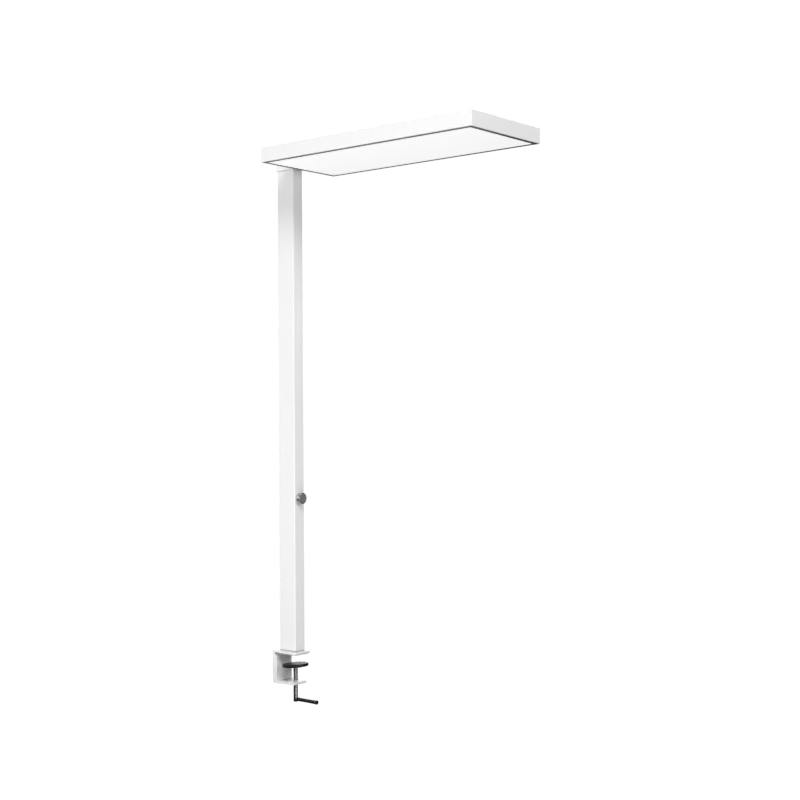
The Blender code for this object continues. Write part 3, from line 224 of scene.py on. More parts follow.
def opal_acrylic():
    finish, tree, shader = new_finish("opal_acrylic_satin", "#F2F2F2", 0.5, IOR=1.49)
    place = add(tree, "ShaderNodeTexCoord").outputs["Object"]
    grain = add(tree, "ShaderNodeTexNoise", [("Vector", place), ("Scale", per_metre(SATIN_GRAIN_MM)),
                                             ("Detail", 2.0)])
    bump = add(tree, "ShaderNodeBump", [("Height", grain.outputs["Fac"]), ("Distance", 0.01 * MM),
                                        ("Strength", 0.4)])
    across = add(tree, "ShaderNodeSeparateXYZ", [("Vector", place)])
    row_pitch = (diffuser_high.y - diffuser_low.y) / BOARD_ROWS
    phase = add(tree, "ShaderNodeMath", [(0, across.outputs["Y"]), (1, math.tau / row_pitch)],
                operation="MULTIPLY")
    rows = add(tree, "ShaderNodeMath", [(0, phase.outputs["Value"])], operation="COSINE")
    glow = add(tree, "ShaderNodeMapRange", [("Value", rows.outputs["Value"]), ("From Min", -1.0),
                                            ("To Min", DIFFUSER_GLOW * (1 - ROW_TRACE)),
                                            ("To Max", DIFFUSER_GLOW * (1 + ROW_TRACE))])
    shader.inputs["Emission Color"].default_value = linear("#FFFFFF")
    tree.links.new(glow.outputs["Result"], shader.inputs["Emission Strength"])
    tree.links.new(bump.outputs["Normal"], shader.inputs["Normal"])
    return finish


opal = opal_acrylic()
diffuser_mm = [round(size / MM) for size in diffuser_high - diffuser_low]
print("the diffuser is", diffuser_mm, "mm and glows at", DIFFUSER_GLOW)

# %% [markdown]
# ## Turned metal: the knob and its face insert
# The knob is turned from aluminium and anodised clear, with a satin side. The tool leaves rings round
# its axis, about a quarter of a millimetre apart here so that they can be seen at all, where the real
# feed is nearer a twentieth. The insert in its face is spun and dyed dark. On the face the rings follow the
# distance to the axis, and on the side the distance along it. Fine grooves could be modelled, but a wave
# texture does both: its rings mode for the face, and its bands mode for the side.

# %% Knob finishes
TURNING_RING_MM = 0.25
knob_axis = Vector(joints["knob_turn"]["pos_m"])


def turned_metal(name, hex_dark, hex_light, roughness, wave_type, direction, metallic=1.0):
    finish, tree, shader = new_finish(name, hex_light, roughness, metallic=metallic, Anisotropic=0.5)
    place = add(tree, "ShaderNodeTexCoord").outputs["Object"]
    centred = add(tree, "ShaderNodeVectorMath", [(0, place), (1, knob_axis)], operation="SUBTRACT")
    # One period of a wave texture of scale 1 is tau / 20 long, so pi / 10 turns spacing into scale.
    rings = add(tree, "ShaderNodeTexWave", [("Vector", centred.outputs["Vector"]), ("Distortion", 0.6),
                                            ("Scale", per_metre(TURNING_RING_MM) * math.pi / 10),
                                            ("Detail", 1.0)],
                wave_type=wave_type, **direction)
    tone = add(tree, "ShaderNodeMix", [("Factor", rings.outputs["Fac"]), ("A", linear(hex_dark)),
                                       ("B", linear(hex_light))], data_type="RGBA")
    bump = add(tree, "ShaderNodeBump", [("Height", rings.outputs["Fac"]), ("Distance", 0.006 * MM),
                                        ("Strength", 0.5)])
    tree.links.new(tone.outputs["Result"], shader.inputs["Base Color"])
    tree.links.new(bump.outputs["Normal"], shader.inputs["Normal"])
    return finish


knob_side = turned_metal("clear_anodised_aluminium_turned", "#B4B5B7", "#C1C2C4", 0.20, "BANDS",
                         {"bands_direction": "X"}, metallic=0.8)
knob_face = turned_metal("graphite_anodised_aluminium_spun", "#747578", "#7E7F82", 0.42, "RINGS",
                         {"rings_direction": "X"}, metallic=0.2)
print("turning rings every", TURNING_RING_MM, "mm on", knob_side.name)

# %% [markdown]
# ## Plated and bare metals
# The spindle is steel with a bright chrome plate: a mirror, only slightly hazed, so it shows dark where
# the room is dark. Screws are zinc plated, which is duller, with faint bluish and warm clouds from the
# passivation bath, whose film scatters a little, so it counts as not quite all metal. The hidden blocks
# are milled aluminium, and the ball and the shaft are brass. All four could be flat colours with one gloss,
# but plating and machining are never that even, so one cloudy pattern drives colour, gloss and relief.
# Metals keep the default IOR: their colour already says how they reflect.

# %% Metal finishes
PLATING_CLOUD_MM = 3.0
MILLING_MARK_MM = 0.5


def clouded_metal(name, hex_dark, hex_light, cloud_mm, smoothest, roughest, depth_mm, metallic=1.0):
    """Plated or machined metal: colour, gloss and relief all follow one cloudy pattern."""
    finish, tree, shader = new_finish(name, hex_light, smoothest, metallic=metallic)
    place = add(tree, "ShaderNodeTexCoord").outputs["Object"]
    clouds = add(tree, "ShaderNodeTexNoise", [("Vector", place), ("Scale", per_metre(cloud_mm)),
                                              ("Detail", 4.0)])
    tone = add(tree, "ShaderNodeMix", [("Factor", clouds.outputs["Fac"]), ("A", linear(hex_dark)),
                                       ("B", linear(hex_light))], data_type="RGBA")
    gloss = add(tree, "ShaderNodeMapRange", [("Value", clouds.outputs["Fac"]), ("To Min", smoothest),
                                             ("To Max", roughest)])
    bump = add(tree, "ShaderNodeBump", [("Height", clouds.outputs["Fac"]), ("Distance", depth_mm * MM),
                                        ("Strength", 0.4)])
    tree.links.new(tone.outputs["Result"], shader.inputs["Base Color"])
    tree.links.new(gloss.outputs["Result"], shader.inputs["Roughness"])
    tree.links.new(bump.outputs["Normal"], shader.inputs["Normal"])
    return finish


bright_chrome = clouded_metal("bright_chrome_plate", "#C6C7C9", "#CFD0D1", PLATING_CLOUD_MM, 0.07, 0.12,
                              0.001)
zinc_plate = clouded_metal("zinc_plated_steel", "#B3B6BC", "#C6C4BC", PLATING_CLOUD_MM, 0.26, 0.42, 0.006,
                           metallic=0.8)
milled_aluminium = clouded_metal("milled_aluminium", "#C9CACC", "#DADBDC", MILLING_MARK_MM, 0.30, 0.46,
                                 0.01)
turned_brass = clouded_metal("turned_brass", "#C7A05A", "#D9B46C", MILLING_MARK_MM, 0.22, 0.36, 0.006)
print("metals:", ", ".join(m.name for m in (bright_chrome, zinc_plate, milled_aluminium, turned_brass)))

# %% [markdown]
# ## Moulded plastics and rubber
# The crank's sleeve and the inlet are black nylon from a spark-eroded mould, whose fine dimples are
# about 0.3 mm across. The pad is nitrile rubber, with the faint lighter clouds that handled rubber has.
# The gaskets are grey foam rubber with open cells. One builder serves them all: cells for the relief,
# clouds for the colour. What differs is typed in: size, depth, gloss and the two colours.

# %% Moulded finishes
MOULD_CLOUD_MM = 12
GLOSS_DRIFT = 0.05


def moulded(name, hex_dark, hex_light, cell_mm, depth_mm, roughness, ior=1.5):
    finish, tree, shader = new_finish(name, hex_dark, roughness, IOR=ior)
    place = add(tree, "ShaderNodeTexCoord").outputs["Object"]
    cells = add(tree, "ShaderNodeTexVoronoi", [("Vector", place), ("Scale", per_metre(cell_mm))],
                feature="SMOOTH_F1")
    clouds = add(tree, "ShaderNodeTexNoise", [("Vector", place), ("Scale", per_metre(MOULD_CLOUD_MM)),
                                              ("Detail", 3.0)])
    tone = add(tree, "ShaderNodeMix", [("Factor", clouds.outputs["Fac"]), ("A", linear(hex_dark)),
                                       ("B", linear(hex_light))], data_type="RGBA")
    gloss = add(tree, "ShaderNodeMapRange", [("Value", clouds.outputs["Fac"]),
                                             ("To Min", roughness - GLOSS_DRIFT),
                                             ("To Max", roughness + GLOSS_DRIFT)])
    bump = add(tree, "ShaderNodeBump", [("Height", cells.outputs["Distance"]), ("Distance", depth_mm * MM),
                                        ("Strength", 0.5)])
    tree.links.new(tone.outputs["Result"], shader.inputs["Base Color"])
    tree.links.new(gloss.outputs["Result"], shader.inputs["Roughness"])
    tree.links.new(bump.outputs["Normal"], shader.inputs["Normal"])
    return finish


black_nylon = moulded("black_glass_filled_nylon", "#0C0C0D", "#131314", 0.3, 0.02, 0.34, ior=1.53)
nitrile_rubber = moulded("black_nitrile_rubber", "#0F0F10", "#19191A", 0.5, 0.02, 0.40, ior=1.52)
foam_gasket = moulded("grey_foam_rubber_gasket", "#B4B4B3", "#C2C2C1", 0.4, 0.06, 0.80)
white_abs = moulded("white_abs", "#DCDCDA", "#E6E6E4", 0.3, 0.01, 0.45, ior=1.54)
green_laminate = moulded("green_glass_epoxy_laminate", "#1F5A34", "#27693E", 0.8, 0.01, 0.35, ior=1.55)
white_laminate = moulded("white_reflective_laminate", "#E4E4E0", "#EDEDEA", 0.8, 0.01, 0.40, ior=1.55)
print("moulded:", ", ".join(m.name for m in (black_nylon, nitrile_rubber, foam_gasket, white_abs,
                                             green_laminate, white_laminate)))

# %% [markdown]
# ## Carried-over CAD nodes
# Most pieces keep their CAD shape and only change finish. The record says which slot each node uses, so
# one table from slot to finish dresses them all. A real edge is never perfectly sharp, and a thin bright
# line along it is what makes a model look solid. Cutting the edges by hand would be endless. A Bevel
# modifier does it, after a Weld that joins the corners the file format had split, and nothing moves.
# Smooth shading would then let the rounding darken the flat faces beside it, so a Weighted Normal
# modifier gives the big faces their say.

# %% Dress the CAD nodes
FINISH_OF_SLOT = {
    "white_powder": powder_white, "grey_gasket": foam_gasket, "dark_frame": frame_along_x, "opal": opal,
    "satin_metal": knob_side, "chrome": bright_chrome, "zinc": zinc_plate, "aluminium": milled_aluminium,
    "brass": turned_brass, "black_plastic": black_nylon, "black_rubber": nitrile_rubber,
    "dark_cap": knob_face, "white_plastic": white_abs, "circuit_board": green_laminate,
    "white_board": white_laminate,
}
EDGE_ROUNDING_MM = {"white_powder": 0.3, "aluminium": 0.3, "zinc": 0.1, "black_plastic": 0.15}
SPLIT_CORNERS = 0.005 * MM
EDGE_DEGREES = 30
slot_of = {row["node"]: row["material_slot"] for row in frame["record"]["subparts"]}


def soften_edges(piece, width):
    """Rounds a piece's edges by modifiers only."""
    weld = piece.modifiers.new("joined corners", "WELD")
    weld.merge_threshold = SPLIT_CORNERS
    bevel = piece.modifiers.new("eased edges", "BEVEL")
    bevel.width = width
    bevel.segments = 2
    bevel.limit_method = "ANGLE"
    bevel.angle_limit = math.radians(EDGE_DEGREES)
    piece.data.shade_smooth()
    flat_faces = piece.modifiers.new("flat faces", "WEIGHTED_NORMAL")
    flat_faces.keep_sharp = True


for name, piece in nodes.items():
    piece.data.materials.clear()
    piece.data.materials.append(FINISH_OF_SLOT[slot_of[name]])
    if slot_of[name] in EDGE_ROUNDING_MM:
        soften_edges(piece, EDGE_ROUNDING_MM[slot_of[name]] * MM)
for name in ("frame_end_post", "frame_end_far"):
    nodes[name].data.materials[0] = frame_along_y
print("dressed", len(nodes), "CAD nodes in", len(set(slot_of.values())), "finishes")

# %% [markdown]
# ## Rounded profiles
# The spindle, pad, knob and crank are all turned or moulded round an axis, so each starts as an outline of
# radius and height. A turning tool has a nose radius and a mould is eased by hand, so no real corner is
# sharp. A Bevel modifier could round the finished piece. Rounding the outline first needs no modifier, and
# each corner gets its own radius.

# %% Rounded profiles
def rounded_profile(corners, steps=4):
    """(radius, height, corner radius) points, with each corner that has a radius drawn as an arc."""
    outline = []
    for index, (radius, height, fillet) in enumerate(corners):
        corner = Vector((radius, height))
        if not fillet or index in (0, len(corners) - 1):
            outline.append(corner)
            continue
        before = (Vector(corners[index - 1][:2]) - corner).normalized()
        after = (Vector(corners[index + 1][:2]) - corner).normalized()
        half = before.angle(after) / 2
        reach = fillet / math.tan(half)
        centre = corner + (before + after).normalized() * fillet / math.sin(half)
        start, end = corner + before * reach - centre, corner + after * reach - centre
        sweep = start.angle_signed(end)
        for step in range(steps + 1):
            turn = Matrix.Rotation(-sweep * step / steps, 2)
            outline.append(centre + turn @ start)
    return outline


rounded_corner = rounded_profile([(0, 1, 0), (1, 1, 0.2), (1, 0, 0)])
print("a rounded corner is drawn with", len(rounded_corner) - 2, "points")

# %% [markdown]
# ## Turning a profile
# Blender's Screw modifier can spin a profile. Building the rings of points ourselves keeps every point
# where we want it, so a thread can be cut into the same grid later. Each ring is joined to the next by
# faces, and a point on the axis is a ring of one, which makes a fan.

# %% Rings of points
ON_AXIS = 0.001 * MM


def join_rings(shape, rings, sides):
    """Faces between each ring of points and the next. A ring of a single point makes a fan."""
    for upper, lower in zip(rings, rings[1:]):
        for side in range(sides):
            after = (side + 1) % sides
            corners = [upper[side % len(upper)], lower[side % len(lower)], lower[after % len(lower)],
                       upper[after % len(upper)]]
            shape.faces.new(list(dict.fromkeys(corners)))
    bmesh.ops.recalc_face_normals(shape, faces=shape.faces)


def turned(name, outline, place, finish, sides=96, closed=False, radius_at=None, sharp_degrees=40):
    """Spins (radius, height) points about Z and puts the piece at a matrix. radius_at may cut a thread."""
    shape = bmesh.new()
    rings = []
    for radius, height in outline:
        if radius < ON_AXIS:
            rings.append([shape.verts.new((0, 0, height))])
            continue
        ring = []
        for side in range(sides):
            angle = math.tau * side / sides
            reach = radius_at(radius, height, angle) if radius_at else radius
            ring.append(shape.verts.new((reach * math.cos(angle), reach * math.sin(angle), height)))
        rings.append(ring)
    join_rings(shape, rings + rings[:1] if closed else rings, sides)
    bmesh.ops.transform(shape, matrix=place, verts=shape.verts)
    return as_piece(name, shape, finish, sharp_degrees)


print("a ring nearer the axis than", ON_AXIS / MM, "mm is a single point")

# %% [markdown]
# ## From points to a piece
# A bmesh is only points and faces. To become a piece it needs shading, a finish, and a body of the lamp to
# move with. Smooth shading alone would smear the corners, so edges past an angle stay sharp. Most pieces
# made here stand for a CAD node, which is then hidden.

# %% Pieces and the bodies that they ride on
def as_piece(name, shape, finish, sharp_degrees=40):
    """Turns a bmesh into a smooth piece whose edges stay sharp past an angle."""
    mesh = bpy.data.meshes.new(name)
    shape.to_mesh(mesh)
    shape.free()
    mesh.shade_smooth()
    mesh.set_sharp_from_angle(angle=math.radians(sharp_degrees))
    mesh.materials.append(finish)
    piece = bpy.data.objects.new(name, mesh)
    bpy.context.scene.collection.objects.link(piece)
    return piece


def stand_in_for(piece, body, slot, *cad_nodes):
    """The new piece moves with the body and hides the CAD nodes it stands for. The slot is not used."""
    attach(piece, body)
    if cad_nodes:
        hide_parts(*cad_nodes)
    print(piece.name, "on", body, "with", len(piece.data.polygons), "faces")


def along_x(at):
    """Turns +Z to +X and moves to a point: the place of a piece whose axis is level."""
    return Matrix.Translation(at) @ Matrix.Rotation(math.pi / 2, 4, "Y")


# %% [markdown]
# ## The clamp spindle
# An M10 screw with a 1.5 mm pitch, plain at its foot where the crank passes through, and turned down to a
# journal at its top. A thread could be an image or a bump, but it shows on the outline, so it is real:
# each point's radius depends on how far round and how far up it is. The grooves run out towards both
# ends, because a die starts and stops. They are 0.25 mm deep where a real one is 0.92 mm, because deeper
# flanks would break the one bright line down the screw into sparkles.

# %% The spindle's outline and thread
THREAD_PITCH = 1.5 * MM
THREAD_DEPTH = 0.25 * MM
ROWS_PER_TURN = 12
spindle_low, spindle_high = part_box("spindle")
spindle_radius = (spindle_high.x - spindle_low.x) / 2
spindle_axis = Vector(joints["spindle_turn"]["pos_m"])
ball_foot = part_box("ball_bush")[0].z
grip_axis = Vector(joints["grip_spin"]["pos_m"])
JOURNAL_RADIUS = 2.5 * MM
JOURNAL_EDGE = 0.2 * MM
SHOULDER_GAP = 0.3 * MM
SHOULDER_CHAMFER = 0.5 * MM
FOOT_CHAMFER = 0.8 * MM
thread_top = ball_foot - 2.2 * MM
thread_foot = grip_axis.z + spindle_radius + THREAD_PITCH


def thread_groove(radius, height, angle):
    """The radius at a point of the thread: a flat crest, two flanks and a narrow root."""
    along = (height / THREAD_PITCH - angle / math.tau) % 1.0
    from_root = abs(along - 0.5) * 2
    # The root is a twentieth of the pitch wide, and each flank an eighth.
    depth = min(1.0, max(0.0, 1.2 - 4 * from_root))
    run_out = min(1.0, (height - thread_foot) / THREAD_PITCH, (thread_top - height) / THREAD_PITCH)
    if radius < spindle_radius or run_out <= 0:
        return radius
    return radius - THREAD_DEPTH * depth * run_out


def spindle_outline():
    shoulder = ball_foot - SHOULDER_GAP
    outline = [(0.0, spindle_high.z), (JOURNAL_RADIUS - JOURNAL_EDGE, spindle_high.z),
               (JOURNAL_RADIUS, spindle_high.z - JOURNAL_EDGE), (JOURNAL_RADIUS, shoulder),
               (spindle_radius - SHOULDER_CHAMFER, shoulder), (spindle_radius, shoulder - SHOULDER_CHAMFER)]
    rows = round((thread_top - thread_foot) / THREAD_PITCH * ROWS_PER_TURN)
    for row in range(rows + 1):
        outline.append((spindle_radius, thread_top + (thread_foot - thread_top) * row / rows))
    outline += rounded_profile([(spindle_radius, thread_foot - 0.1 * MM, 0),
                                (spindle_radius, spindle_low.z, FOOT_CHAMFER), (0.0, spindle_low.z, 0)])[1:]
    return outline


print("thread:", round((thread_top - thread_foot) / THREAD_PITCH), "turns of", THREAD_PITCH / MM, "mm")

# %% [markdown]
# ## The spindle and its cross hole
# The crank's rod passes through a hole drilled across the spindle's foot. Working a hole into the grid of
# rings would be awkward, so a round cutter takes it out with a Boolean, which is applied at once. Edges
# are kept sharp from 15 degrees on, so that the flanks don't tilt the shading of the flat crests.

# %% Threaded spindle
def cut_by(piece, cutter):
    """Applies a Boolean cut, and removes the cutter."""
    cut = piece.modifiers.new("cut", "BOOLEAN")
    cut.operation = "DIFFERENCE"
    cut.object = cutter
    cut.solver = "EXACT"
    bpy.context.view_layer.update()
    whole = piece.evaluated_get(bpy.context.evaluated_depsgraph_get())
    mesh = bpy.data.meshes.new_from_object(whole)
    piece.modifiers.clear()
    piece.data = mesh
    bpy.data.objects.remove(cutter, do_unlink=True)


HOLE_PLAY = 0.3 * MM
CUT_SPARE = 2 * MM
on_spindle = Matrix.Translation((spindle_axis.x, spindle_axis.y, 0))
spindle = turned("threaded_spindle", spindle_outline(), on_spindle, bright_chrome, sides=48,
                 radius_at=thread_groove, sharp_degrees=15)
rod_low, rod_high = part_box("crank_rod")
rod_hole = (rod_high.z - rod_low.z) / 2 + HOLE_PLAY
hole_reach = spindle_radius + CUT_SPARE
cutter = turned("cross_hole", [(0, hole_reach), (rod_hole, hole_reach), (rod_hole, -hole_reach),
                               (0, -hole_reach)], along_x(grip_axis), bright_chrome, sides=32)
cut_by(spindle, cutter)
stand_in_for(spindle, "spindle", "chrome", "spindle")

# %% [markdown]
# ## The crank's sleeve, ring and end cap
# The black sleeve turns loose on its rod, so that it rolls in the fingers. It is slightly waisted and its
# ends are rounded. A bright half-round ring and a domed black cap close it. They could be one lathe shape,
# but the sleeve turns on its own. So each is its own turned piece, lying along X, with its ends taken from
# the CAD boxes. The ring has the knob's satin metal, which stays light where chrome would mirror the dark.

# %% Crank pieces
sleeve_low, sleeve_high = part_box("crank_sleeve")
ring_low, ring_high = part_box("crank_ring")
cap_low, cap_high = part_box("crank_end_cap")
sleeve_radius = (sleeve_high.z - sleeve_low.z) / 2
on_crank = along_x(Vector((0, grip_axis.y, grip_axis.z)))
WAIST = 0.15 * MM
WAIST_STEPS = 12
SLEEVE_EDGE = 0.7 * MM
CAP_WALL = 0.9 * MM


def sleeve_outline():
    corners = [(rod_hole, sleeve_high.x, 0), (sleeve_radius, sleeve_high.x, SLEEVE_EDGE)]
    length = sleeve_high.x - sleeve_low.x
    for step in range(1, WAIST_STEPS):
        share = step / WAIST_STEPS
        waisted = sleeve_radius - WAIST * math.sin(math.pi * share) ** 2
        corners.append((waisted, sleeve_high.x - share * length, 0))
    corners += [(sleeve_radius, sleeve_low.x, SLEEVE_EDGE), (rod_hole, sleeve_low.x, 0)]
    return rounded_profile(corners)


sleeve = turned("crank_sleeve_moulded", sleeve_outline(), on_crank, black_nylon, sides=64, closed=True)
stand_in_for(sleeve, "grip", "black_plastic", "crank_sleeve")

ring_radius = (ring_high.z - ring_low.z) / 2
ring_outline = rounded_profile([
    (rod_hole, ring_high.x, 0), (ring_radius, ring_high.x, 0.6 * MM), (ring_radius, ring_low.x, 0.6 * MM),
    (rod_hole, ring_low.x, 0),
], steps=5)
ring = turned("crank_ring_bright", ring_outline, on_crank, knob_side, sides=64, closed=True)
stand_in_for(ring, "spindle", "satin_metal", "crank_ring")

cap_radius = (cap_high.z - cap_low.z) / 2
cap_outline = rounded_profile([
    (0.0, cap_high.x, 0), (cap_radius, cap_high.x, 1.5 * MM), (cap_radius, cap_low.x, 0.4 * MM),
    (rod_hole, cap_low.x, 0), (rod_hole, cap_high.x - CAP_WALL, 0), (0.0, cap_high.x - CAP_WALL, 0),
], steps=6)
end_cap = turned("crank_end_cap_moulded", cap_outline, on_crank, black_nylon, sides=64)
stand_in_for(end_cap, "spindle", "black_plastic", "crank_end_cap")

# %% [markdown]
# ## The pressure pad
# The rubber cap is moulded over a steel disc. Its top has shallow rings that grip the desk, and a rounded
# rim. It hangs on the ball at a slight tilt: the record's mount gives the direction its face points in, so
# the pad is turned upright and then leaned over by one matrix.

# %% Rubber pad
pad_mount = mounts["pressure_pad_face"]
pad_normal = Vector(pad_mount["axis"]).normalized()
pad_face = Vector(pad_mount["pos_m"])
lean = Vector((0, 0, 1)).rotation_difference(pad_normal)
on_pad = Matrix.Translation(pad_face) @ lean.to_matrix().to_4x4()
pad_low, pad_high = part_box("pad_cap")
core_low, core_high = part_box("pad_core")
pad_radius = (pad_high.y - pad_low.y) / 2
core_radius = (core_high.y - core_low.y) / 2 + HOLE_PLAY
PAD_THICKNESS = 7.0 * MM
PAD_SKIN = 1.2 * MM
GRIP_RING_PITCH = 2.8 * MM
GRIP_RING_DEPTH = 0.45 * MM
GROOVE_TOP, GROOVE_FLOOR = 0.7 * MM, 0.35 * MM       # half widths
GROOVE_ROUNDING = 0.15 * MM
PLAIN_RIM = 3.2 * MM


def pad_outline():
    corners = [(0.0, 0.0, 0)]
    ring = 1
    while (ring + 0.5) * GRIP_RING_PITCH < pad_radius - PLAIN_RIM:
        middle = ring * GRIP_RING_PITCH
        corners += [(middle - GROOVE_TOP, 0.0, GROOVE_ROUNDING),
                    (middle - GROOVE_FLOOR, -GRIP_RING_DEPTH, GROOVE_ROUNDING),
                    (middle + GROOVE_FLOOR, -GRIP_RING_DEPTH, GROOVE_ROUNDING),
                    (middle + GROOVE_TOP, 0.0, GROOVE_ROUNDING)]
        ring += 1
    corners += [(pad_radius, 0.0, 2.4 * MM), (pad_radius, -PAD_THICKNESS, 1.4 * MM),
                (core_radius, -PAD_THICKNESS, 0.3 * MM), (core_radius, -PAD_SKIN, 0), (0.0, -PAD_SKIN, 0)]
    return rounded_profile(corners, steps=3)


pad = turned("rubber_pad_ringed", pad_outline(), on_pad, nitrile_rubber, sides=96)
stand_in_for(pad, "pad", "black_rubber", "pad_cap")

# %% [markdown]
# ## The dimmer knob
# A short cylinder with a wide polished chamfer round its face, hollow behind so that it covers the nut, and
# a dark dished insert. The chamfer is what catches the light, as a bright crescent. The side ends in a
# small round at the back. The grub screw's hole is cut from below, as in the CAD node.

# %% Knob
knob_low, knob_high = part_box("knob")
insert_low, insert_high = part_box("knob_cap")
screw_low, screw_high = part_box("knob_screw")
shaft_low, shaft_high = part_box("dimmer_shaft")
knob_radius = (knob_high.y - knob_low.y) / 2
insert_radius = (insert_high.y - insert_low.y) / 2
shaft_radius = (shaft_high.y - shaft_low.y) / 2 + HOLE_PLAY
on_knob = along_x(Vector((0, knob_axis.y, knob_axis.z)))
KNOB_CHAMFER = 1.6 * MM
KNOB_RECESS_RADIUS = 8.5 * MM
KNOB_RECESS_DEPTH = 3.5 * MM
seat_radius, seat_floor = insert_radius + HOLE_PLAY, insert_low.x - HOLE_PLAY
recess_floor, shaft_hole_end = knob_low.x + KNOB_RECESS_DEPTH, shaft_high.x + HOLE_PLAY
knob_outline = rounded_profile([
    (0.0, seat_floor, 0), (seat_radius, seat_floor, 0), (seat_radius, knob_high.x, 0.15 * MM),
    (knob_radius - KNOB_CHAMFER, knob_high.x, 0.25 * MM), (knob_radius, knob_high.x - KNOB_CHAMFER, 0.5 * MM),
    (knob_radius, knob_low.x, 0.5 * MM), (KNOB_RECESS_RADIUS, knob_low.x, 0.2 * MM),
    (KNOB_RECESS_RADIUS, recess_floor, 0.4 * MM), (shaft_radius, recess_floor, 0.2 * MM),
    (shaft_radius, shaft_hole_end, 0), (0.0, shaft_hole_end, 0),
])
knob = turned("dimmer_knob_turned", knob_outline, on_knob, knob_side, sides=128)
screw_hole = (screw_high.x - screw_low.x) / 2 + HOLE_PLAY
screw_middle = Vector(((screw_low.x + screw_high.x) / 2, knob_axis.y, 0))
hole_top, hole_foot = knob_axis.z - shaft_radius + 1 * MM, knob_low.z - 1 * MM
cutter = turned("screw_hole", [(0, hole_top), (screw_hole, hole_top), (screw_hole, hole_foot),
                               (0, hole_foot)],
                Matrix.Translation(screw_middle), knob_side, sides=24)
cut_by(knob, cutter)
stand_in_for(knob, "knob", "satin_metal", "knob")

# %% [markdown]
# ## The knob's dark insert
# A spun disc, dished by half a millimetre so that a fingertip finds its middle. Its outline is a parabola,
# which starts level on the axis, so that no point shows there.

# %% Knob insert
DISH = 0.5 * MM
DISH_STEPS = 14
insert_outline = [(insert_radius * share, insert_high.x - DISH * (1 - share ** 2))
                  for share in [step / DISH_STEPS for step in range(DISH_STEPS)]]
insert_outline += rounded_profile([(insert_radius * 0.95, insert_high.x - 0.05 * MM, 0),
                                   (insert_radius, insert_high.x, 0.2 * MM), (insert_radius, insert_low.x, 0),
                                   (0.0, insert_low.x, 0)])
insert = turned("knob_face_insert", insert_outline, on_knob, knob_face, sides=128)
stand_in_for(insert, "knob", "dark_cap", "knob_cap")

# %% [markdown]
# ## Socket head screws
# The five countersunk screws that show at the back have hexagon sockets. A Boolean could cut the hexagon.
# Joining a hexagon of points to the round head by hand is lighter and always closed: each side of the
# hexagon takes the same number of points as a sixth of the circle.

# %% Screws with hexagon sockets
SOCKET_SHARE = 0.62
SOCKET_DEPTH_SHARE = 0.9
POINTS_PER_FLAT = 6
HEAD_EDGE = 0.15 * MM
TIP_CHAMFER = 0.6 * MM


def hexagon_radius(angle, across_flats):
    """The distance from the centre to a hexagon's side, in that direction."""
    within = (angle + math.pi / 6) % (math.pi / 3) - math.pi / 6
    return across_flats / 2 / math.cos(within)


def socket_screw(name, cad_node, body, thread_radius):
    """A countersunk screw that points along +X, with its head at the CAD node's rear face."""
    low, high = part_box(cad_node)
    head_radius = (high.y - low.y) / 2
    middle = (low + high) / 2
    length = high.x - low.x
    head_depth = head_radius - thread_radius
    flats = thread_radius * 2 * SOCKET_SHARE
    socket_depth = thread_radius * SOCKET_DEPTH_SHARE
    sides = 6 * POINTS_PER_FLAT
    levels = [(0.0, socket_depth, True), (flats, socket_depth, True), (flats, 0.0, True),
              (head_radius - HEAD_EDGE, 0.0, False), (head_radius, HEAD_EDGE, False),
              (thread_radius, head_depth, False), (thread_radius, length - TIP_CHAMFER, False),
              (thread_radius - TIP_CHAMFER, length, False), (0.0, length, False)]
    shape = bmesh.new()
    rings = []
    for size, depth, hexagonal in levels:
        if size == 0.0:
            rings.append([shape.verts.new((depth, 0, 0))])
            continue
        ring = []
        for side in range(sides):
            angle = math.tau * side / sides
            reach = hexagon_radius(angle, size) if hexagonal else size
            ring.append(shape.verts.new((depth, reach * math.cos(angle), reach * math.sin(angle))))
        rings.append(ring)
    join_rings(shape, rings, sides)
    bmesh.ops.transform(shape, matrix=Matrix.Translation((low.x, middle.y, middle.z)), verts=shape.verts)
    stand_in_for(as_piece(name, shape, zinc_plate), body, "zinc", cad_node)


M6_RADIUS, M5_RADIUS = 3.0 * MM, 2.5 * MM
SCREWS = {"bracket_screw_1": M6_RADIUS, "bracket_screw_2": M6_RADIUS, "base_block_screw_1": M5_RADIUS,
          "base_block_screw_2": M5_RADIUS, "top_block_screw": M5_RADIUS}
for cad_node, thread_radius in SCREWS.items():
    socket_screw(cad_node + "_socket", cad_node, "stand", thread_radius)

# %% [markdown]
# ## Lofting
# The power inlet isn't round, so it can't be turned. It is lofted: a few rounded rectangles, each a little
# deeper than the last, joined by strips of faces. Boxes and Booleans would give the same shell with more
# faces. Two corners of the socket are cut off straight, so that a plug only goes in one way up.

# %% Rounded rectangles and lofts
CORNER_STEPS = 5
KEY_CORNER = 4.5 * MM


def rounded_loop(width, height, corner_radii):
    """(y, z) points round a rectangle, anticlockwise from its lower +Y corner."""
    loop = []
    quarters = ((1, -1, -90), (1, 1, 0), (-1, 1, 90), (-1, -1, 180))
    for (side_y, side_z, start), radius in zip(quarters, corner_radii):
        for step in range(CORNER_STEPS + 1):
            angle = math.radians(start + 90 * step / CORNER_STEPS)
            if radius == KEY_CORNER:
                share = step / CORNER_STEPS
                first, last = math.radians(start), math.radians(start + 90)
                across = (1 - share) * math.cos(first) + share * math.cos(last)
                up = (1 - share) * math.sin(first) + share * math.sin(last)
            else:
                across, up = math.cos(angle), math.sin(angle)
            loop.append((side_y * (width / 2 - radius) + radius * across,
                         side_z * (height / 2 - radius) + radius * up))
    return loop


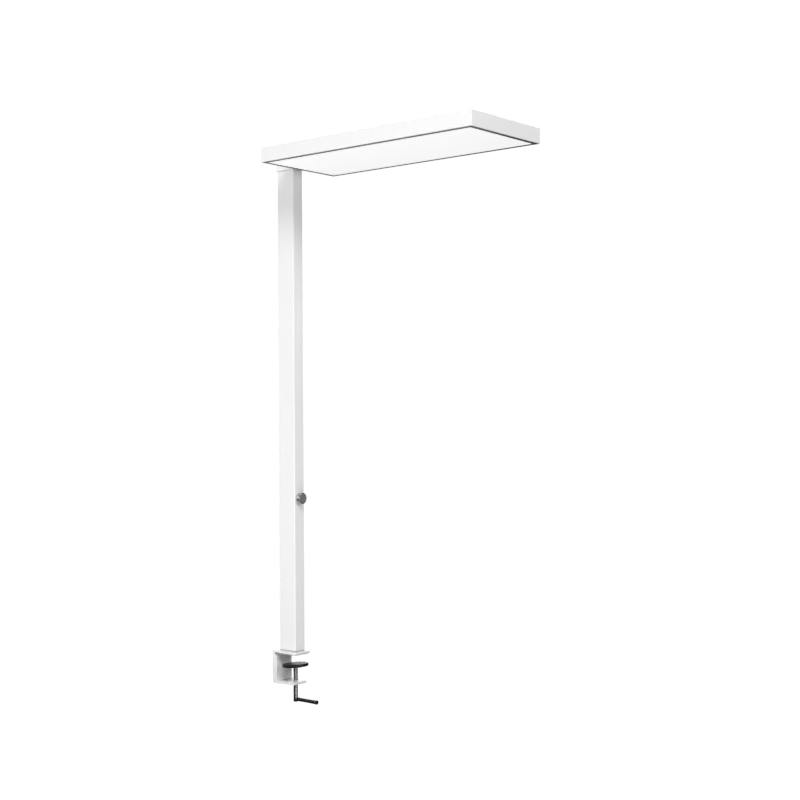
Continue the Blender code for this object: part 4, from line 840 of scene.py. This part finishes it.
def lofted(name, sections, finish):
    """Joins (x, loop) sections by strips of faces, and closes the first and the last."""
    shape = bmesh.new()
    rings = [[shape.verts.new((x, y, z)) for y, z in loop] for x, loop in sections]
    for near, far in zip(rings, rings[1:]):
        for index in range(len(near)):
            after = (index + 1) % len(near)
            shape.faces.new((near[index], near[after], far[after], far[index]))
    shape.faces.new(rings[0])
    shape.faces.new(rings[-1])
    bmesh.ops.recalc_face_normals(shape, faces=shape.faces)
    return as_piece(name, shape, finish)


print("a rounded rectangle has", len(rounded_loop(1, 1, (0.1,) * 4)), "points")

# %% [markdown]
# ## The power inlet
# A moulded shell whose flange covers the edge of the hole in the post. The CAD node has the shell and its
# contacts in one solid, and here they are separate, because one is nylon and the others are metal. The
# sections run from the shell's back, round the flange, and down the socket to its floor.

# %% Power inlet
INLET_WALL = 1.5 * MM
FLANGE_THICKNESS = 1.5 * MM
FLANGE_OVERLAP = 2.0 * MM
inlet_low, inlet_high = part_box("power_inlet")
inlet_middle = (inlet_low + inlet_high) / 2
flange_width, flange_height = inlet_high.y - inlet_low.y, inlet_high.z - inlet_low.z
body_width, body_height = flange_width - 2 * FLANGE_OVERLAP, flange_height - 2 * FLANGE_OVERLAP
socket_width, socket_height = body_width - 2 * INLET_WALL, body_height - 2 * INLET_WALL
soft, key = 0.8 * MM, KEY_CORNER
face, floor_x = inlet_low.x, inlet_high.x - INLET_WALL
flange_back = face + FLANGE_THICKNESS
ease = 0.4 * MM
plain, keyed = (2 * MM,) * 4, (key, soft, soft, key)
inlet_sections = [
    (inlet_high.x, rounded_loop(body_width, body_height, (soft,) * 4)),
    (flange_back, rounded_loop(body_width, body_height, (soft,) * 4)),
    (flange_back, rounded_loop(flange_width, flange_height, plain)),
    (face + ease, rounded_loop(flange_width, flange_height, plain)),
    (face, rounded_loop(flange_width - 2 * ease, flange_height - 2 * ease, plain)),
    (face, rounded_loop(socket_width + ease, socket_height + ease, keyed)),
    (face + ease, rounded_loop(socket_width, socket_height, keyed)),
    (floor_x, rounded_loop(socket_width, socket_height, keyed)),
]
inlet = lofted("power_inlet_shell", [(x, [(y + inlet_middle.y, z + inlet_middle.z) for y, z in loop])
                                     for x, loop in inlet_sections], black_nylon)
stand_in_for(inlet, "stand", "black_plastic", "power_inlet")

# %% [markdown]
# ## The inlet's contacts
# Three flat plated pins, the middle one on the other side, with tapered tips that find their way
# into the plug. They are lofted like the shell, and end just inside its floor so that no gap shows.

# %% Inlet contacts
CONTACT_WIDTH, CONTACT_THICKNESS = 4.5 * MM, 1.8 * MM
CONTACT_PITCH, CONTACT_OFFSET = 7.0 * MM, 3.0 * MM
CONTACT_CORNER = 0.3 * MM
TIP_LENGTH, TIP_NARROWER, TIP_THINNER = 0.8 * MM, 1.4 * MM, 1.0 * MM
contact_start = face + FLANGE_THICKNESS + 3.3 * MM
for number, (side, row) in enumerate(((1, -1), (-1, 0), (1, 1)), 1):
    centre = Vector((0, inlet_middle.y + side * CONTACT_OFFSET, inlet_middle.z + row * CONTACT_PITCH))
    full = rounded_loop(CONTACT_WIDTH, CONTACT_THICKNESS, (CONTACT_CORNER,) * 4)
    tip = rounded_loop(CONTACT_WIDTH - TIP_NARROWER, CONTACT_THICKNESS - TIP_THINNER, (CONTACT_CORNER,) * 4)
    sections = [(contact_start, tip), (contact_start + TIP_LENGTH, full), (floor_x - 0.01 * MM, full)]
    contact = lofted(f"inlet_contact_{number}", [(x, [(y + centre.y, z + centre.z) for y, z in loop])
                                                 for x, loop in sections], zinc_plate)
    stand_in_for(contact, "stand", "zinc")

# %% [markdown]
# ## Camera
# The camera stands where the proportions of the head and the post agree with a real view: to the right of
# the front, a little over half way up the post, and almost level. Its turn is given as three small
# angles, and the axes are worked out from them. No shift and no depth of field are needed.

# %% Camera
CAMERA_PLACE = Vector((2.18802, -2.24468, 0.5507))
CAMERA_YAW, CAMERA_PITCH, CAMERA_ROLL = 2.2628, 0.0105, -0.0063
CAMERA_LENS_MM = 60.72

forward = Vector((math.cos(CAMERA_PITCH) * math.cos(CAMERA_YAW),
                  math.cos(CAMERA_PITCH) * math.sin(CAMERA_YAW), math.sin(CAMERA_PITCH)))
level_right = forward.cross(Vector((0, 0, 1))).normalized()
level_up = level_right.cross(forward)
right = level_right * math.cos(CAMERA_ROLL) + level_up * math.sin(CAMERA_ROLL)
up = level_up * math.cos(CAMERA_ROLL) - level_right * math.sin(CAMERA_ROLL)
camera = bpy.data.objects.new("camera", bpy.data.cameras.new("camera"))
camera.data.lens = CAMERA_LENS_MM
camera.data.sensor_width = 36.0
camera.data.clip_end = 100.0
bpy.context.scene.collection.objects.link(camera)
camera.matrix_world = Matrix.Translation(CAMERA_PLACE) @ Matrix((right, up, -forward)).transposed().to_4x4()
bpy.context.scene.camera = camera
print("camera", round((CAMERA_PLACE - Vector((0, 0, CAMERA_PLACE.z))).length, 2), "m from the post")

# %% [markdown]
# ## Floor, backdrop and light
# A white product is shown on white, and still has to keep its edges. Lighting the whole room white
# would flatten it. So the pale floor and the backdrop are bright only to the camera, and the light on the
# lamp comes from a few large soft boxes in a dim room: its faces then differ in tone, the mouth of
# the clamp goes dark, and chrome has something dark to mirror.

# %% Floor and backdrop
FLOOR_LEVEL = -1.8
ROOM_RADIUS = 20.0


def glowing_white(name, strength):
    """Seamless paper, lit evenly by lamps of its own."""
    finish, _, shader = new_finish(name, "#FFFFFF", 0.9)
    shader.inputs["Emission Color"].default_value = linear("#FFFFFF")
    shader.inputs["Emission Strength"].default_value = strength
    return finish


def stage_piece(name, shape, finish):
    """A piece of the set, which is not part of the lamp and, so far, only shows to the camera."""
    piece = as_piece(name, shape, finish)
    piece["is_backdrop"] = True
    piece.visible_diffuse = False
    piece.visible_glossy = False
    piece.visible_transmission = False
    piece.visible_shadow = False
    return piece


paper = glowing_white("seamless_paper_white", 1.0)
shape = bmesh.new()
bmesh.ops.create_circle(shape, cap_ends=True, segments=96, radius=ROOM_RADIUS)
bmesh.ops.translate(shape, verts=shape.verts, vec=(0, 0, FLOOR_LEVEL))
stage_piece("pale_floor", shape, paper)
shape = bmesh.new()
bmesh.ops.create_uvsphere(shape, u_segments=64, v_segments=32, radius=ROOM_RADIUS)
stage_piece("backdrop", shape, paper)
print("floor", -FLOOR_LEVEL, "m below the desk face")

# %% [markdown]
# ## A black card
# In a studio, black card darkens the shaded side of a white object, which is called negative fill. One
# lies just under the clamp, out of sight, and keeps light from the floor out of the clamp's mouth. A
# darker floor would do it too, but would dim the post and the diffuser as well.

# %% Black card
CARD_LEVEL = spindle_low.z - 0.02
CARD_HALF_SIZE = 0.12
CARD_SHIFT = -0.02
black_card = new_finish("black_card", "#060606", 0.9)[0]
shape = bmesh.new()
bmesh.ops.create_grid(shape, x_segments=2, y_segments=2, size=CARD_HALF_SIZE)
bmesh.ops.translate(shape, verts=shape.verts,
                    vec=(spindle_axis.x + CARD_SHIFT, spindle_axis.y + CARD_SHIFT, CARD_LEVEL))
card = stage_piece("black_card_under_clamp", shape, black_card)
card.visible_camera = False
card.visible_diffuse = True
card.visible_shadow = True
print("black card", round((spindle_low.z - CARD_LEVEL) / MM), "mm under the spindle")

# %% [markdown]
# ## Soft boxes and room light
# Large soft boxes give soft edges to every shadow. The strong ones stand high at the front and to the
# right, so the head shades the top of the post, and the clamp's arm shades its mouth. The low ones lift
# the faces toward the floor. Three would only burn white patches into the chrome and the knob, so mirrors
# don't see them. The weak box low on the right is there for the spindle's bright line, and the one at eye
# level for the knob's edge. One sun lamp would be simpler, but its shadows are hard.

# %% Soft boxes and room light
AIM = Vector((0.2, 0.0, 0.55))
SOFT_BOXES = {
    # name: (place, width and height in metres, watts)
    "left_box": ((0.2, -3.0, 1.9), (2.4, 1.8), 9.0),
    "left_low_box": ((0.2, -3.2, 0.8), (2.4, 1.4), 8.0),
    "left_floor_box": ((0.2, -3.2, -0.3), (2.4, 1.2), 44.0),
    "right_box": ((4.2, 0.3, 2.2), (2.6, 2.0), 69.0),
    "right_low_box": ((3.4, 0.2, 0.7), (2.0, 1.4), 3.0),
    "front_box": ((1.8, -1.8, 3.3), (1.6, 1.2), 72.0),
    "eye_level_box": ((2.45, -2.55, 0.8), (0.8, 1.2), 5.5),
    "right_floor_box": ((3.1, -1.5, -0.5), (1.2, 1.4), 10.0),
    "floor_bounce": ((0.8, -0.8, -1.6), (3.0, 3.0), 44.0),
    "back_left_box": ((-2.6, -1.6, 1.2), (2.0, 2.0), 18.0),
    "back_box": ((-2.2, 2.4, 0.5), (1.8, 1.0), 6.0),
    "back_high_box": ((-2.4, 2.4, 1.9), (2.4, 1.8), 80.0),
}
KEPT_OUT_OF_MIRRORS = ("left_floor_box", "floor_bounce", "front_box")
ROOM_LIGHT = 0.02

for name, (place, (width, height), watts) in SOFT_BOXES.items():
    light = bpy.data.lights.new(name, "AREA")
    light.shape = "RECTANGLE"
    light.size, light.size_y = width, height
    light.energy = watts
    box = bpy.data.objects.new(name, light)
    box.location = place
    box.rotation_mode = "QUATERNION"
    box.rotation_quaternion = (AIM - Vector(place)).to_track_quat("-Z", "Y")
    box.visible_camera = False
    box.visible_glossy = name not in KEPT_OUT_OF_MIRRORS
    bpy.context.scene.collection.objects.link(box)

world = bpy.data.worlds.new("dim_room")
world.use_nodes = True
room = world.node_tree.nodes["Background"]
room.inputs["Color"].default_value = linear("#FFFFFF")
room.inputs["Strength"].default_value = ROOM_LIGHT
bpy.context.scene.world = world
bpy.context.scene.view_settings.view_transform = "Standard"
print(len(SOFT_BOXES), "soft boxes and a room at", ROOM_LIGHT)

# %% [markdown]
# ## Sizes
# The finished model is meant to keep the CAD model's size, so both boxes are printed at the end.

# %% Both sizes
visual_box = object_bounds()


def plain(corners):
    return [[float(value) for value in corner] for corner in corners]


{"cad": plain(cad_box), "visual": plain(visual_box)}
print("CAD box", plain(cad_box))
print("visual box", plain(visual_box))
